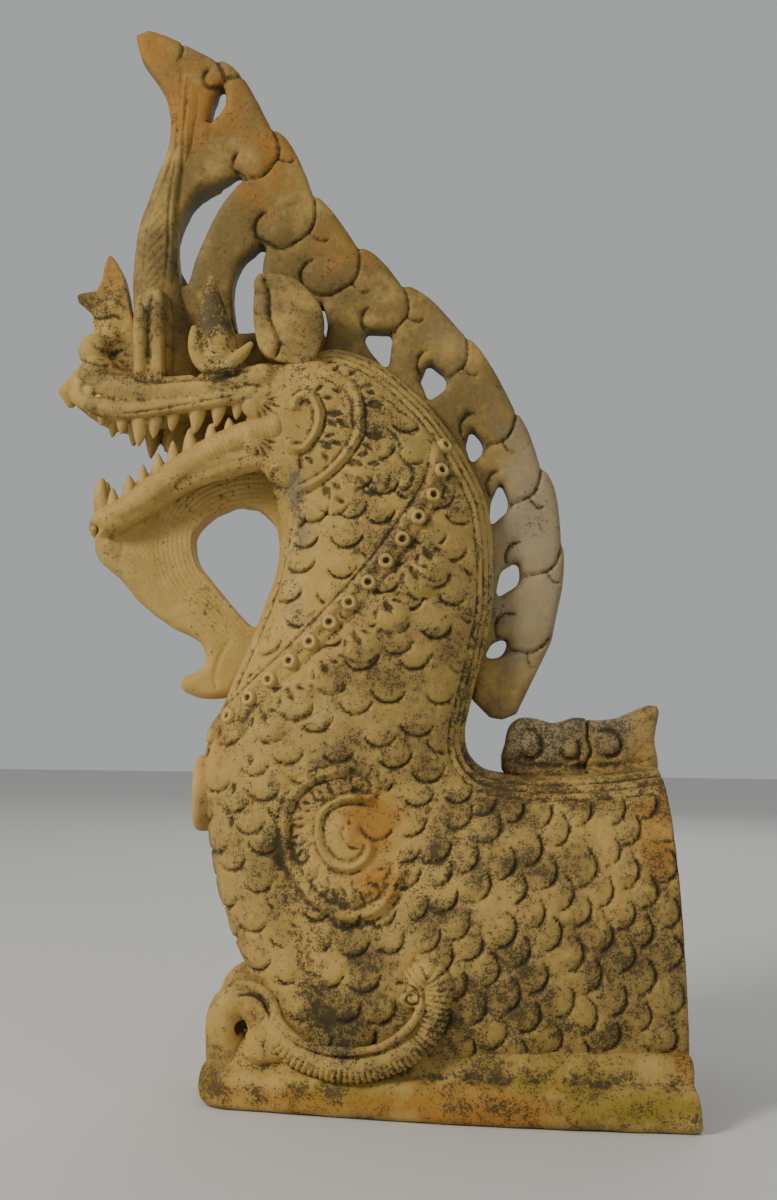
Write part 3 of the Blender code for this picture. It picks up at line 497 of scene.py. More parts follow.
def clay_material():
    material = bpy.data.materials.new("fired_clay_looks")
    material.use_nodes = True
    tree = material.node_tree
    nodes, wires = tree.nodes, tree.links
    shader = nodes["Principled BSDF"]
    place = nodes.new("ShaderNodeTexCoord")

    def layer(label):
        made = nodes.new("ShaderNodeVertexColor")
        made.layer_name = label
        split = nodes.new("ShaderNodeSeparateColor")
        wires.new(made.outputs["Color"], split.inputs[0])
        return [split.outputs[0], split.outputs[1], split.outputs[2], made.outputs["Alpha"]]

    def noise(scale, detail=4.0, roughness=0.55):
        made = nodes.new("ShaderNodeTexNoise")
        made.inputs["Scale"].default_value = scale
        made.inputs["Detail"].default_value = detail
        made.inputs["Roughness"].default_value = roughness
        wires.new(place.outputs["Object"], made.inputs["Vector"])
        return made.outputs[0]

    def ramp(value, low, high, bottom=0.0, top=1.0):
        made = nodes.new("ShaderNodeMapRange")
        made.interpolation_type = "SMOOTHSTEP"
        for slot_name, number in (("From Min", low), ("From Max", high), ("To Min", bottom), ("To Max", top)):
            made.inputs[slot_name].default_value = number
        wires.new(value, made.inputs["Value"])
        return made.outputs["Result"]

    def math_of(kind, a, b):
        made = nodes.new("ShaderNodeMath")
        made.operation = kind
        for socket, value in ((made.inputs[0], a), (made.inputs[1], b)):
            if isinstance(value, (int, float)):
                socket.default_value = value
            else:
                wires.new(value, socket)
        return made.outputs[0]

    def mix(factor, a, b):
        made = nodes.new("ShaderNodeMix")
        made.data_type = "RGBA"
        wires.new(factor, made.inputs["Factor"])
        for socket, value in ((made.inputs["A"], a), (made.inputs["B"], b)):
            if isinstance(value, tuple):
                socket.default_value = value + (1.0,)
            else:
                wires.new(value, socket)
        return made.outputs["Result"]

    def total(*terms):
        value = terms[0]
        for term, share in terms[1:]:
            value = math_of("ADD", value, math_of("MULTIPLY", math_of("SUBTRACT", term, 0.5), share))
        return value

    def shade(amount, strength, colour):
        return mix(math_of("MULTIPLY", amount, strength), base, colour)

    recess, black, red, moss = layer("patina_and_shade")
    film, stain_and_wall_shade, ash = layer("tone")[:3]
    broad, cloud, patch = noise(8.0, 3.0), noise(27.0, 5.0, 0.6), noise(75.0, 4.0, 0.65)
    fine, speck = noise(260.0, 3.0, 0.65), noise(820.0, 2.0, 0.6)
    base = mix(ramp(broad, 0.36, 0.64), CLAY, DEEP_CLAY)
    base = shade(ramp(patch, 0.44, 0.66), 0.5, LIGHT_CLAY)
    # a thin brown film, thicker in some clouds than in others
    base = shade(ramp(total(film, (cloud, 1.8), (patch, 1.0), (fine, 0.5)), 0.15, 0.85), 0.9, BROWN_FILM)
    base = shade(ramp(total(red, (cloud, 1.3), (patch, 0.8)), 0.25, 0.8), 0.8, RED_CLAY)
    base = shade(ramp(total(moss, (cloud, 1.2), (fine, 0.6)), 0.3, 0.8), 0.8, MOSS)
    # grey stains, and painted shade on the walls of the crest's openings
    base = shade(ramp(total(stain_and_wall_shade, (cloud, 1.0), (fine, 0.8)), 0.3, 0.8), 0.6, GREY_STAIN_AND_WALL_SHADE)
    base = shade(ramp(total(ash, (cloud, 0.8), (patch, 0.6)), 0.2, 0.9), 0.75, ASH)
    # worn high places show paler clay
    base = shade(ramp(total(recess, (fine, -0.3)), 0.47, 0.24), 0.6, WORN_CLAY)
    # painted shade darkening the hollows and cut grooves, and dark specks that are denser in the hollows as
    # painted shade
    base = shade(ramp(total(recess, (fine, 0.8), (cloud, 0.5)), 0.57, 0.90), 0.86, HOLLOW_SHADE)
    cover = total(black, (cloud, 1.3), (patch, 1.0), (fine, 1.3), (speck, 2.0), (recess, 0.5))
    base = shade(ramp(cover, 0.38, 0.66), 0.82, SPECKS_AND_HOLLOW_SHADE)
    wires.new(base, shader.inputs["Base Color"])
    wires.new(ramp(recess, 0.35, 0.8, 0.62, 0.9), shader.inputs["Roughness"])
    shader.inputs["Specular IOR Level"].default_value = 0.3
    grain = nodes.new("ShaderNodeBump")
    grain.inputs["Strength"].default_value = 0.5
    grain.inputs["Distance"].default_value = 0.0008
    rough = total(fine, (speck, 0.5), (patch, 1.2))
    wires.new(rough, grain.inputs["Height"])
    wires.new(grain.outputs[0], shader.inputs["Normal"])
    return material


clay = clay_material()

# Trunk: neck and body, lofted between sections from back ridge to front.
# Each key: back x, z, front x, z, half width, fullness at back and at front.
TRUNK_KEYS = (
    (-100, 452, -118, 374, 33.5, 0.80, 0.80), (-74, 462, -110, 345, 45.4, 0.75, 0.80),
    (-41, 450, -109, 324, 49.7, 0.75, 0.80), (-8, 421, -112, 306, 51.8, 0.75, 0.80),
    (15, 388, -121, 282, 52.9, 0.75, 0.80), (30, 352, -132, 254, 54.0, 0.75, 0.80),
    (33, 300, -149, 215, 56.7, 0.75, 0.75), (28, 266, -156, 190, 60.5, 0.75, 0.70),
    (21, 238, -154, 160, 63.7, 0.72, 0.66), (15, 214, -148, 118, 66.4, 0.70, 0.60),
    (16, 199, -137, 84, 68.0, 0.66, 0.52), (21, 190, -121, 50, 70.6, 0.62, 0.46),
    (30, 184, -97, 8, 73.9, 0.60, 0.36), (48, 181, -40, -6, 79.0, 0.58, 0.25),
    (78, 181, 28, -6, 82.3, 0.56, 0.25), (112, 184, 92, -6, 84.0, 0.56, 0.25),
    (138, 188, 151, -6, 84.0, 0.56, 0.25))
VALLEY = ((-96, 140), (-98, 105), (-88, 75), (-74, 30))
SCALE_ROW = 14.6
SCALE_COLUMN = 25.5
SCALE_RADIUS = 10.8
SCALE_GAP = 14.0


def trunk_grid(rows, columns):
    """Skin of the trunk as a grid, with each point's place along and across it."""
    fine = curve(TRUNK_KEYS, 1200)
    middle = (fine[:, 0:2] + fine[:, 2:4]) / 2
    run = np.concatenate([[0], np.cumsum(np.linalg.norm(np.diff(middle, axis=0), axis=1))])
    want = np.linspace(0, run[-1], rows)
    keys = np.column_stack([np.interp(want, run, fine[:, k]) for k in range(7)])
    a = 0.5 - 0.5 * np.cos(np.linspace(0, math.pi, 500))
    grid = np.zeros((rows, columns, 3))
    across = np.zeros((rows, columns))
    half_count = columns // 2
    for r, (bx, bz, fx, fz, half, back_full, front_full) in enumerate(keys):
        w = 0.5 - 0.5 * np.cos(math.pi * a)
        full = np.where(a < 0.5, back_full, front_full)
        y = half * np.sin(math.pi * a) ** full
        x, z = bx + (fx - bx) * w, bz + (fz - bz) * w
        y = y - valley_depth(x, z) * np.sin(math.pi * a)
        length = np.concatenate([[0], np.cumsum(np.sqrt(np.diff(x) ** 2 + np.diff(y) ** 2 + np.diff(z) ** 2))])
        at = np.linspace(0, length[-1], half_count + 1)
        x, y, z, w = (np.interp(at, length, value) for value in (x, y, z, w))
        side = np.column_stack([x, y, z])
        grid[r] = np.vstack([side, (side * [1, -1, 1])[-2:0:-1]])
        across[r] = np.concatenate([w, w[-2:0:-1]])
    along = np.repeat(want[:, None], columns, 1)
    return grid, along, across, run[-1]


def valley_depth(x, z):
    """The hollow that runs down the side of the breast."""
    nearest = np.full(np.shape(x), 1e9)
    for (ax, az), (bx, bz) in zip(VALLEY, VALLEY[1:]):
        dx, dz = bx - ax, bz - az
        t = np.clip(((x - ax) * dx + (z - az) * dz) / (dx * dx + dz * dz), 0, 1)
        nearest = np.minimum(nearest, np.hypot(x - ax - dx * t, z - az - dz * t))
    return 7.0 * np.exp(-(nearest / 13.0) ** 2)


def pointing(x, z):
    """Angle of the scales' round ends: down on the neck, down and back on the body."""
    return -82.0 + 64.0 * smooth_step(x - 0.5 * (z - 120.0), -60.0, 45.0)


def stamp(relief, x, z, radius, angle, depth, painted_shade, keep):
    """One round scale: a low pillow ending in a crescent cut."""
    near = np.nonzero((np.abs(relief.p[:, 0] - x) < radius + 6) & (np.abs(relief.p[:, 1] - z) < radius + 6))[0]
    q = relief.p[near] - (x, z)
    c, s = math.cos(math.radians(angle)), math.sin(math.radians(angle))
    ahead, aside = q[:, 0] * c + q[:, 1] * s, q[:, 1] * c - q[:, 0] * s
    d = np.hypot(ahead, aside)
    turn = np.arctan2(np.abs(aside), ahead)
    width = 0.9 + 2.2 * smooth_step(turn, 1.45, 0.2)
    out = d - radius
    groove = np.clip((out + 0.9) / 0.9, 0, 1) * np.clip(1 - out / width, 0, 1) * smooth_step(turn, 1.35, 0.95)
    pillow = smooth_step(d, radius, radius - 8.0) * smooth_step(ahead, -radius * 0.6, radius * 0.8)
    relief.h[near] += keep[near] * (1.0 * pillow - depth * groove)
    # painted shade in the crescent cut
    relief.painted_shade[near] = np.maximum(relief.painted_shade[near], keep[near] * painted_shade * groove)


STRAP = ((-2, 394), (-7, 365), (-24, 337), (-45, 308), (-70, 280), (-96, 254), (-123, 229), (-142, 212),
         (-149, 204))
SCROLL_RIM = ((-58, 184), (-67, 184), (-84, 178), (-93, 169), (-98, 158), (-99, 146), (-97, 131), (-89, 117),
              (-75, 103), (-57, 96), (-41, 101), (-31, 113), (-27, 126))
SCROLL_RING = ((-44, 166), (-51, 168), (-64, 167), (-75, 160), (-78, 149), (-76, 137), (-70, 129), (-59, 125),
               (-50, 129), (-46, 136), (-48, 142), (-54, 143))
SCROLL_CURL = ((-72, 183), (-64, 188), (-54, 187), (-45, 180), (-43, 172), (-50, 167), (-59, 171), (-58, 178))
# Leaves under the strap: place, and the three or four cuts that fan out on each.
TASSELS = ((-12, 321), (-21, 309), (-37, 287), (-56, 267), (-76, 248), (-97, 231), (-114, 217))
CHEEK_RIM = (
    (-82, 439), (-71, 436), (-62, 430), (-58, 420), (-57, 410), (-57, 400), (-61, 391), (-68, 381),
    (-77, 372), (-88, 365), (-99, 361))
CHEEK_SCROLL = (
    (-98, 414), (-98, 419), (-93, 423), (-87, 421), (-83, 412), (-84, 402), (-88, 394), (-93, 389),
    (-100, 390), (-101, 395))
CHEEK_CUTS = (
    (-73, 412, 0, 6, 2.2), (-74, 405, -35, 4, 1.6), (-67, 405, -35, 5, 1.8), (-75, 397, 10, 4, 1.4),
    (-78, 391, -35, 5, 2.2), (-71, 392, -15, 4, 1.5), (-78, 383, -55, 4, 1.6), (-94, 381, -85, 6, 1.8),
    (-88, 381, -40, 4, 1.4), (-77, 422, 0, 4, 1.4), (-83, 428, 40, 4, 1.4), (-71, 427, -20, 4, 1.4),
    (-47, 419, 0, 7, 2.6), (-47, 398, -10, 7, 2.8), (-59, 379, -10, 6, 2.6), (-47, 379, 0, 4, 1.6),
    (-54, 385, 5, 4, 1.5), (-51, 390, -35, 4, 1.6), (-61, 369, -40, 6, 2.6), (-55, 368, -45, 4, 1.8),
    (-77, 361, -65, 7, 2.4), (-70, 364, -35, 4, 2), (-68, 355, -30, 4, 1.8), (-52, 432, 20, 5, 2),
    (-50, 427, -10, 4, 1.5), (-72, 444, 50, 4, 1.5), (-62, 441, 40, 4, 1.6))
CHEEK_PETALS = (
    ((-58, 366), (-52, 361), (-44, 359), (-38, 364), (-36, 373)), ((-33, 364), (-26, 363), (-22, 369),
    (-23, 378), (-30, 382)), ((-43, 425), (-35, 421), (-30, 414)), ((-31, 416), (-21, 410), (-18, 405),
    (-20, 401), (-26, 401)), ((-40, 405), (-34, 399), (-30, 392), (-30, 386)), ((-82, 350), (-75, 346),
    (-67, 347), (-62, 353)), ((-52, 440), (-42, 437), (-35, 431)))


def cheek_marks(relief):
    """Scroll, rim and leaf cuts of the cheek, on whichever skin lies outermost there."""
    relief.line(curve(CHEEK_RIM, 60), 2.2, 3.0, fade=0.06)
    for shift in (-4.2, 4.2):
        relief.line(curve(swollen(CHEEK_RIM, (-92, 402), 1 + shift / 36, 1 + shift / 38), 60), 0.9, -1.1, 0.45)
    relief.dome((-94, 405), 7.5, -1.6)
    relief.line(curve(CHEEK_SCROLL, 60), 2.1, 3.6, fade=0.03)
    relief.line(curve(swollen(CHEEK_SCROLL[1:-1], (-92, 405), 1.5, 1.26), 50), 0.9, -1.2, 0.5)
    for x, z, angle, length, width in CHEEK_CUTS:
        relief.dome((x, z), length * 1.3, 0.9)
        relief.almond((x, z), angle, length, width, 2.4, 0.7)
    for line in CHEEK_PETALS:
        relief.line(curve(line, 24), 1.0, -1.5, 0.5)
    # two shell-like fans at the corner of the mouth
    for x, z in ((-123, 420), (-124, 396)):
        relief.dome((x - 2, z + 2), 4.0, 1.6)
        for angle in (26, 6, -14, -35, -56, -78):
            c, s = math.cos(math.radians(angle)), math.sin(math.radians(angle))
            relief.almond((x + 10.5 * c, z + 10.5 * s), angle, 5.6, 1.15, 1.7, 0.45)
    relief.line(spiral((-126, 423), 4.5, 2.0, 20, 0.8, 16), 0.8, -1.1, 0.4)
    relief.line(curve([(-106, 378), (-112, 377), (-114, 371), (-111, 364), (-104, 360)], 20), 1.4, 1.4)


THROAT = ((-101, 346), (-107, 321), (-113, 296), (-123, 270), (-133, 246), (-141, 226))
SCROLL_CUTS = (
    (((-62, 152), (-63, 144), (-59, 138), (-52, 137)), 20, 1.0, -1.5, 0.7),
    (((-52, 153), (-50, 146), (-43, 142), (-36, 144), (-31, 150)), 20, 1.2, -1.8, 0.8),
    (((-66, 160), (-60, 156), (-58, 150)), 14, 1.0, -1.2, 0.5))


def lay_scales(relief, back, backs, fronts, total):
    """Scales in staggered rows, left out where other carving lies."""
    p, depth = relief.p, np.abs(relief.v[:, 1])

    def away(line, inner, outer):
        keep = np.ones(len(p))
        idx, d, _ = relief.near(line, outer)
        keep[idx] = smooth_step(d, inner, outer)
        return keep

    keep = away([(x - 2, z + 1) for x, z in STRAP], 8, 10) * away(THROAT, 5, 8)
    for x, z in TASSELS:
        keep *= smooth_step(np.hypot(p[:, 0] - x - 2, p[:, 1] - z + 3), 11, 13)
    keep *= smooth_step(np.linalg.norm((p - (-64, 141)) / (1.0, 1.12), axis=1), 38, 41)
    keep *= smooth_step(valley_depth(p[:, 0], p[:, 1]), 5.5, 3.0) * smooth_step(p[:, 1], 8, 14)
    keep *= smooth_step(back, 14, 18) * smooth_step(p[:, 1], 445, 425) * smooth_step(depth, 3, 9)
    keep *= smooth_step(np.hypot(p[:, 0] + 90, p[:, 1] - 404), 50, 54)
    idx, ahead, _ = relief.along(THROAT, 40)
    keep[idx] *= smooth_step(ahead, -2, 3)
    placed = np.zeros((0, 2))
    for i in range(int(total / SCALE_ROW)):
        row = int((i + 0.4) * SCALE_ROW / total * (len(backs) - 1))
        wide = np.linalg.norm(fronts[row] - backs[row])
        for j in range(int((wide - 10) / SCALE_COLUMN) + 1):
            down = 18 + (j + 0.5 * (i % 2)) * SCALE_COLUMN
            here = backs[row] + (fronts[row] - backs[row]) * down / wide + rng.normal(size=2) * 1.3
            if len(placed) and np.linalg.norm(placed - here, axis=1).min() < SCALE_GAP:
                continue
            placed = np.vstack([placed, here])
            size = SCALE_RADIUS * rng.uniform(0.9, 1.08)
            stamp(relief, here[0], here[1], size, pointing(*here) + rng.normal() * 6, rng.uniform(1.9, 2.7),
                  rng.uniform(0.8, 1.0), keep)


def lay_strap(relief):
    """Rail beside the beads, and the leaves that hang from it."""
    relief.line(curve([(x - 3.6, z + 2.2) for x, z in STRAP], 60), 3.0, 2.0, fade=0.02)
    relief.line(curve([(x - 7.6, z + 4.6) for x, z in STRAP], 60), 0.9, -1.4, 0.5)
    relief.line(curve([(x + 5.6, z - 3.6) for x, z in STRAP], 60), 1.8, -1.2, 0.35)
    for x, z in TASSELS:
        relief.dome((x + 3, z - 5), 11.0, 3.4, 3.5)
        relief.almond((x, z), -60, 5.6, 2.0, 2.8, 0.75)
        relief.almond((x + 6, z + 4), -18, 3.4, 1.2, 2.0, 0.6)
        relief.almond((x - 7, z - 4), -95, 4.2, 1.1, 2.0, 0.6)
        relief.line(spiral((x + 4, z - 5), 11.5, 11.5, -140, 0.33, 16), 1.4, -1.2, 0.3)


def lay_scroll(relief):
    """Shoulder scroll: rim, sunk band with lobes, inner ring and top curl."""
    band = swollen(SCROLL_RIM[1:-1], (-64, 142), 0.78, 0.78)
    relief.line(curve(band, 80), 6.0, -1.0, 0.1, fade=0.05)
    for x, z in even(band, 11.0):
        a = math.degrees(math.atan2(z - 142, x + 64))
        # painted shade in the lobes' cuts, deepest towards the front of the band
        cut_shade = 0.25 + 0.55 * float(smooth_step(abs(a - 165) if a > 0 else abs(a + 195), 75, 30))
        relief.dome((x, z), 5.0, 2.0)
        relief.almond((x, z), a + 35, 3.4, 1.1, 1.5, cut_shade)
        relief.line(spiral((x, z), 5.4, 5.4, a + 60, 0.3, 12), 1.0, -1.2, cut_shade)
    relief.line(curve(SCROLL_RIM, 90), 3.6, 4.2, fade=0.06)
    relief.line(curve([(x * 1.11 + 7.0, z * 1.11 - 15.6) for x, z in SCROLL_RIM], 90), 2.4, -1.4, 0.15)
    relief.line(curve([(x * 0.89 - 7.0, z * 0.89 + 15.6) for x, z in SCROLL_RIM], 90), 1.1, -1.0, 0.25)
    relief.dome((-62, 147), 13.0, 1.8)
    relief.line(curve(SCROLL_RING, 80), 2.3, 3.4)
    relief.line(curve(swollen(SCROLL_RING, (-62, 147), 0.8, 0.8), 80), 0.9, -1.3, 0.5)
    relief.line(curve([(x * 1.15 + 9.3, z * 1.15 - 22.0) for x, z in SCROLL_RING[:9]], 80), 1.1, -1.4, 0.6)
    relief.strokes(SCROLL_CUTS)
    relief.line(curve(SCROLL_CURL, 50), 1.6, 2.2)
    relief.line(spiral((-54, 177), 5.0, 4.0, 120, 0.7, 14), 0.8, -1.0, 0.4)
    relief.line(spiral((-40, 124), 5.5, 4.0, 150, 0.8, 14), 1.2, 1.5)


def lay_borders(relief, back):
    """Three lines along the back, and the border of the throat's strip."""
    for place in (2.5, 7.0, 11.5):
        relief.h += 1.4 * np.exp(-((back - place) / 1.5) ** 2)
        groove = np.exp(-((back - place - 2.2) / 0.9) ** 2)
        relief.h -= 1.1 * groove
        # painted shade in the grooves along the back, less of it near the top of the neck
        relief.painted_shade = np.maximum(relief.painted_shade, 0.5 * groove * smooth_step(relief.p[:, 1], 470, 440))
    relief.line(curve(THROAT, 40), 1.6, 1.0)
    relief.line(curve([(x + 3, z) for x, z in THROAT], 40), 1.0, -1.2, 0.35)


def build_trunk():
    """Neck, breast and body as one skin; the tree returned finds its surface again."""
    rows, columns = ((620, 300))
    grid, along, across, total = trunk_grid(rows, columns)
    v = grid.reshape(-1, 3)
    r, c = np.meshgrid(np.arange(rows - 1), np.arange(columns), indexing="ij")
    a = (r * columns + c).ravel()
    b = (r * columns + (c + 1) % columns).ravel()
    quads = np.column_stack([a, a + columns, b + columns, b])
    normals = normals_of(v, quads)
    if (normals[:, 1] * v[:, 1]).sum() < 0:
        quads = quads[:, ::-1].copy()
        normals = -normals
    relief = Relief(v, quads)
    span = np.linalg.norm(grid[:, 0] - grid[:, columns // 2], axis=1)[:, None] + np.zeros_like(along)
    back = (across * span).ravel()
    lay_scales(relief, back, grid[:, 0, [0, 2]], grid[:, columns // 2, [0, 2]], total)
    lay_strap(relief)
    lay_scroll(relief)
    lay_borders(relief, back)
    cheek_marks(relief)
    # four cuts with painted shade in them
    for x, z, cut_shade in ((-133, 172, 1.0), (-134, 151, 1.0), (-122, 190, 0.5), (-120, 165, 0.4)):
        relief.almond((x, z), 85, 4.0, 1.6, 2.6, cut_shade)
    edge = np.clip(1 - (total - along.ravel()) / 3.0, 0, 1)
    relief.h -= 2.6 * (1 - np.sqrt(1 - edge ** 2))
    v = worn(v + normals * relief.h[:, None], normals, 0.35)
    normals = normals_of(v, quads)
    hollow = hollow_of(v, normals, links(quads, len(v)))
    # the flat cut end closes the last ring, and the grid parts into three pieces
    bounds = [0, int(rows * 0.32), int(rows * 0.62), rows - 1]
    for number, (first, last) in enumerate(zip(bounds, bounds[1:])):
        part = quads[first * columns:last * columns] - first * columns
        keep = slice(first * columns, (last + 1) * columns)
        pv, pn, ph, pd = v[keep], normals[keep], hollow[keep], relief.painted_shade[keep]
        for end, on in ((0, number == 0), (last - first, number == 2)):
            if on:
                i = np.arange(columns // 2)
                ring = end * columns
                cap = np.column_stack([ring + i, ring + i + 1, ring + (columns - i - 1) % columns,
                                       ring + (columns - i) % columns])
                cap = cap[1:-1]
                part = np.vstack([part, cap if end == 0 else cap[:, ::-1]])
        finished(("neck", "breast", "body")[number], pv, part, pd, normals=pn, hollow=ph)
    coarse = grid[::6, ::4]
    cr, cc = coarse.shape[:2]
    faces = [(r * cc + c, (r + 1) * cc + c, (r + 1) * cc + (c + 1) % cc, r * cc + (c + 1) % cc)
             for r in range(cr - 1) for c in range(cc)]
    return BVHTree.FromPolygons(coarse.reshape(-1, 3).tolist(), faces)


def side_of(tree, x, z):
    """How far the trunk's skin stands out from the middle plane."""
    hit = tree.ray_cast(Vector((x, 300.0, z)), Vector((0, -1, 0)))[0]
    return max(hit.y, 0.0) if hit else 0.0


# Slab

def slab_half(x):
    """Half width of the slab, which tapers to the front."""
    return 100.0 - 47.0 * ((SLAB_REAR - x) / 306.0) ** 1.7


# Height of each ring of the slab and its ledge, with how far it is drawn in at the sides and the rear.
SLAB_TIERS = ((-25, 4.8, 0), (-22, 1.4, 0), (-19, 0, 0), (-9, 0, 0), (-4.5, 1.2, 0.6), (-1.5, 3.6, 1.4),
              (0.6, 8.5, 2.6), (4, 11.5, 3), (10, 13.5, 3), (15, 16.5, 3), (18, 20, 3))


def build_slab():
    def plan(inset, rear_inset):
        corner_x, radius = -127.0, 26.0 - inset
        corner_y = slab_half(corner_x) - 26.0
        xs = np.linspace(SLAB_REAR - rear_inset, corner_x, 50, endpoint=False)
        side = [(x, slab_half(x) - inset) for x in xs]
        for angle in np.radians(np.linspace(90, 180, 14)):
            side.append((corner_x + radius * math.cos(angle), corner_y + radius * math.sin(angle)))
        return np.array(side + [(x, -y) for x, y in side[::-1]])

    rings = [np.column_stack([plan(inset, rear), np.full(128, float(z))]) for z, inset, rear in SLAB_TIERS]
    v, quads = fused([loft(rings)], 1.7)
    relief = Relief(v, quads)
    lumps = np.sin(v[:, 0] * 0.11 + 1.3) * np.sin(v[:, 2] * 0.23 + v[:, 0] * 0.021)
    lumps += 0.5 * np.sin(v[:, 0] * 0.31)
    side_face = smooth_step(v[:, 2], -24, -18)
    relief.h += (0.7 * lumps - 0.5) * side_face
    relief.line([(-160, 2), (160, 2)], 2.4, -0.7, 0.25, fade=0)
    v[:, 2] = np.maximum(v[:, 2], -24.4)
    carved("slab", v, quads, relief, 0.5, 1.8)


# Head

HEAD_KEYS = (
    (-248, 446, 430, 0.20), (-243, 455, 425, 0.34), (-230, 453, 418, 0.50), (-212, 446, 411, 0.64),
    (-190, 439, 412, 0.76), (-165, 441, 414, 0.88), (-140, 446, 416, 0.98), (-112, 452, 400, 1.04),
    (-88, 456, 396, 1.00), (-66, 450, 396, 0.84))
HEAD_HALF = 44.0
UPPER_TEETH = (
    (-244, 421, 16, 5.2), (-236, 414, 18, 6.2), (-228, 407, 19, 7), (-214, 401, 20, 7.6),
    (-202, 393, 26, 8.4), (-192, 398, 22, 7.2), (-180, 402, 20, 7.2), (-164, 401, 22, 8.6),
    (-150, 405, 21, 7.8), (-137, 409, 18, 7))
LOWER_TEETH = ((-219, 366, 20, 6.6), (-208, 374, 20, 8), (-199, 381, 20, 6.4), (-189, 388, 21, 8.2),
               (-179, 396, 21, 7.2), (-168, 404, 23, 8.6), (-154, 407, 20, 8.2), (-142, 411, 17, 7))
FANG = (-229, 373, 27, 9.0)
NOSE_HORN = (
    (-243, 447), (-224, 440), (-206, 446), (-207, 466), (-211, 482), (-214, 494), (-216, 505), (-219, 515),
    (-224, 523), (-228, 526), (-231, 518), (-233, 508), (-236, 502), (-243, 500), (-249, 498), (-246, 493),
    (-240, 487), (-238, 478), (-237, 466))
EAR = (
    (-125, 505), (-113, 505), (-99, 501), (-88, 490), (-82, 477), (-83, 463), (-88, 449), (-98, 445),
    (-113, 448), (-122, 455), (-126, 471), (-127, 490))


# Lip and muzzle roll: x, z, share of the head's half width, radius. Horn and its roll: x, z, radius.
LIP = (
    (-247, 430, 0.24, 6), (-238, 424, 0.40, 6.5), (-224, 418, 0.56, 7), (-205, 416, 0.68, 6.5),
    (-182, 418, 0.78, 6), (-158, 420, 0.88, 5.5), (-140, 423, 0.96, 5.5), (-124, 425, 1.00, 5))
MUZZLE = ((-240, 438, 0.22, 9), (-222, 432, 0.44, 11), (-203, 428, 0.58, 11), (-180, 428, 0.68, 10.5),
          (-156, 430, 0.80, 10), (-134, 434, 0.88, 9), (-116, 438, 0.92, 8))
HORN = ((-149, 448, 14), (-150, 460, 13), (-153, 476, 10), (-155, 490, 6.5), (-155, 503, 2.5))
HORN_ROLL = ((-164, 468, 2.5), (-164, 457, 4.4), (-161, 447, 5.2), (-153, 440, 5.4), (-144, 442, 5.2),
             (-135, 449, 4.2), (-127, 458, 1.8))
HEAD_SIDE_CUTS = (
    (((-170, 452), (-166, 441), (-155, 433), (-142, 435), (-130, 446)), 30, 1.4, -1.6, 0.7),
    (((-214, 412), (-202, 413), (-185, 415), (-167, 418), (-150, 421), (-130, 424)), 40, 0.9, -1.2, 0.5),
    (((-208, 438), (-192, 434), (-173, 435), (-154, 436), (-136, 438), (-123, 443)), 40, 2.0, -2.2, 0.6),
    (((-195, 494), (-196, 470), (-195, 445)), 20, 1.5, -1.6, 0.35))
NOSE_CUTS = (
    (((-246, 452), (-238, 450), (-228, 447), (-222, 448)), 20, 1.1, -1.6, 0.5),
    (((-243, 486), (-234, 482), (-224, 484), (-214, 480)), 20, 1.4, -1.4, 0.5),
    (((-236, 462), (-226, 458), (-214, 462)), 20, 1.6, -1.4, 0.5))


def build_upper_head():
    rings, a = [], around(48)
    for x, top, bottom, share in curve(HEAD_KEYS, 46):
        y = rounded(np.cos(a), 0.7) * HEAD_HALF * share
        z = rounded(np.sin(a), 0.7) * (top - bottom) / 2 + (top + bottom) / 2
        rings.append(np.column_stack([np.full(48, x), y, z]))
    shapes = [loft(rings), plate(closed(NOSE_HORN, 80), 8.5), ball((-228, 0, 438), (20, 20, 19))]
    shapes += [ball((-226, 0, 470), (11, 12, 12)), ball((-224, 0, 492), (9, 10, 11)),
               ball((-243, 0, 497), (7, 7, 5)), ball((-226, 0, 512), (6, 7, 12))]
    shapes.append(tube([(-236, 0, 436), (-248, 0, 438), (-254, 0, 432), (-252, 0, 424)], [11, 11, 8, 3]))
    horn, roll = curve(HORN, 20), curve(HORN_ROLL, 30)
    for side in SIDES:
        shapes.append(ball((-236, side * 12, 459), (10.5, 8.5, 12)))
        shapes.append(ball((-232, side * 13, 441), (15, 13, 14)))
        post = [(-194, side * 19, 436), (-195, side * 20, 480), (-195, side * 20, 490), (-196, side * 20, 497)]
        shapes.append(tube(post, [13.5, 13.5, 11.5, 7]))
        for rail in (((-201, 440, 31), (-202, 478, 31), (-202, 492, 28)),
                     ((-189, 440, 31), (-190, 478, 31), (-191, 496, 28))):
            shapes.append(tube(on_side(rail, side), [4.5, 4.5, 3]))
        shapes.append(tube([(x, side * 37, z) for x, z, _ in horn], horn[:, 2]))
        shapes.append(tube([(x, side * 45, z) for x, z, _ in roll], roll[:, 2]))
        for line in (curve(LIP, 30), curve(MUZZLE, 30)):
            shapes.append(tube([(x, side * HEAD_HALF * y, z) for x, z, y, _ in line], line[:, 3], 24))
    v, quads = fused(shapes, 1.15)
    relief = Relief(v, quads)
    outside = smooth_step(np.abs(v[:, 1]), 22, 28)
    relief.line(spiral((-150, 456), 6.0, 6.0, 60, 0.7), 0.9, -1.0, 0.4, where=outside)
    relief.strokes(HEAD_SIDE_CUTS, outside)
    relief.line([(-203, 492), (-198, 481), (-192, 484)], 0.9, -1.1, 0.4, where=outside)
    relief.strokes(NOSE_CUTS)
    for x, z in ((-152, 486), (-157, 470), (-143, 462)):
        relief.dome((x, z), 4.0, 0.9)
    carved("upper_head", v, quads, relief)


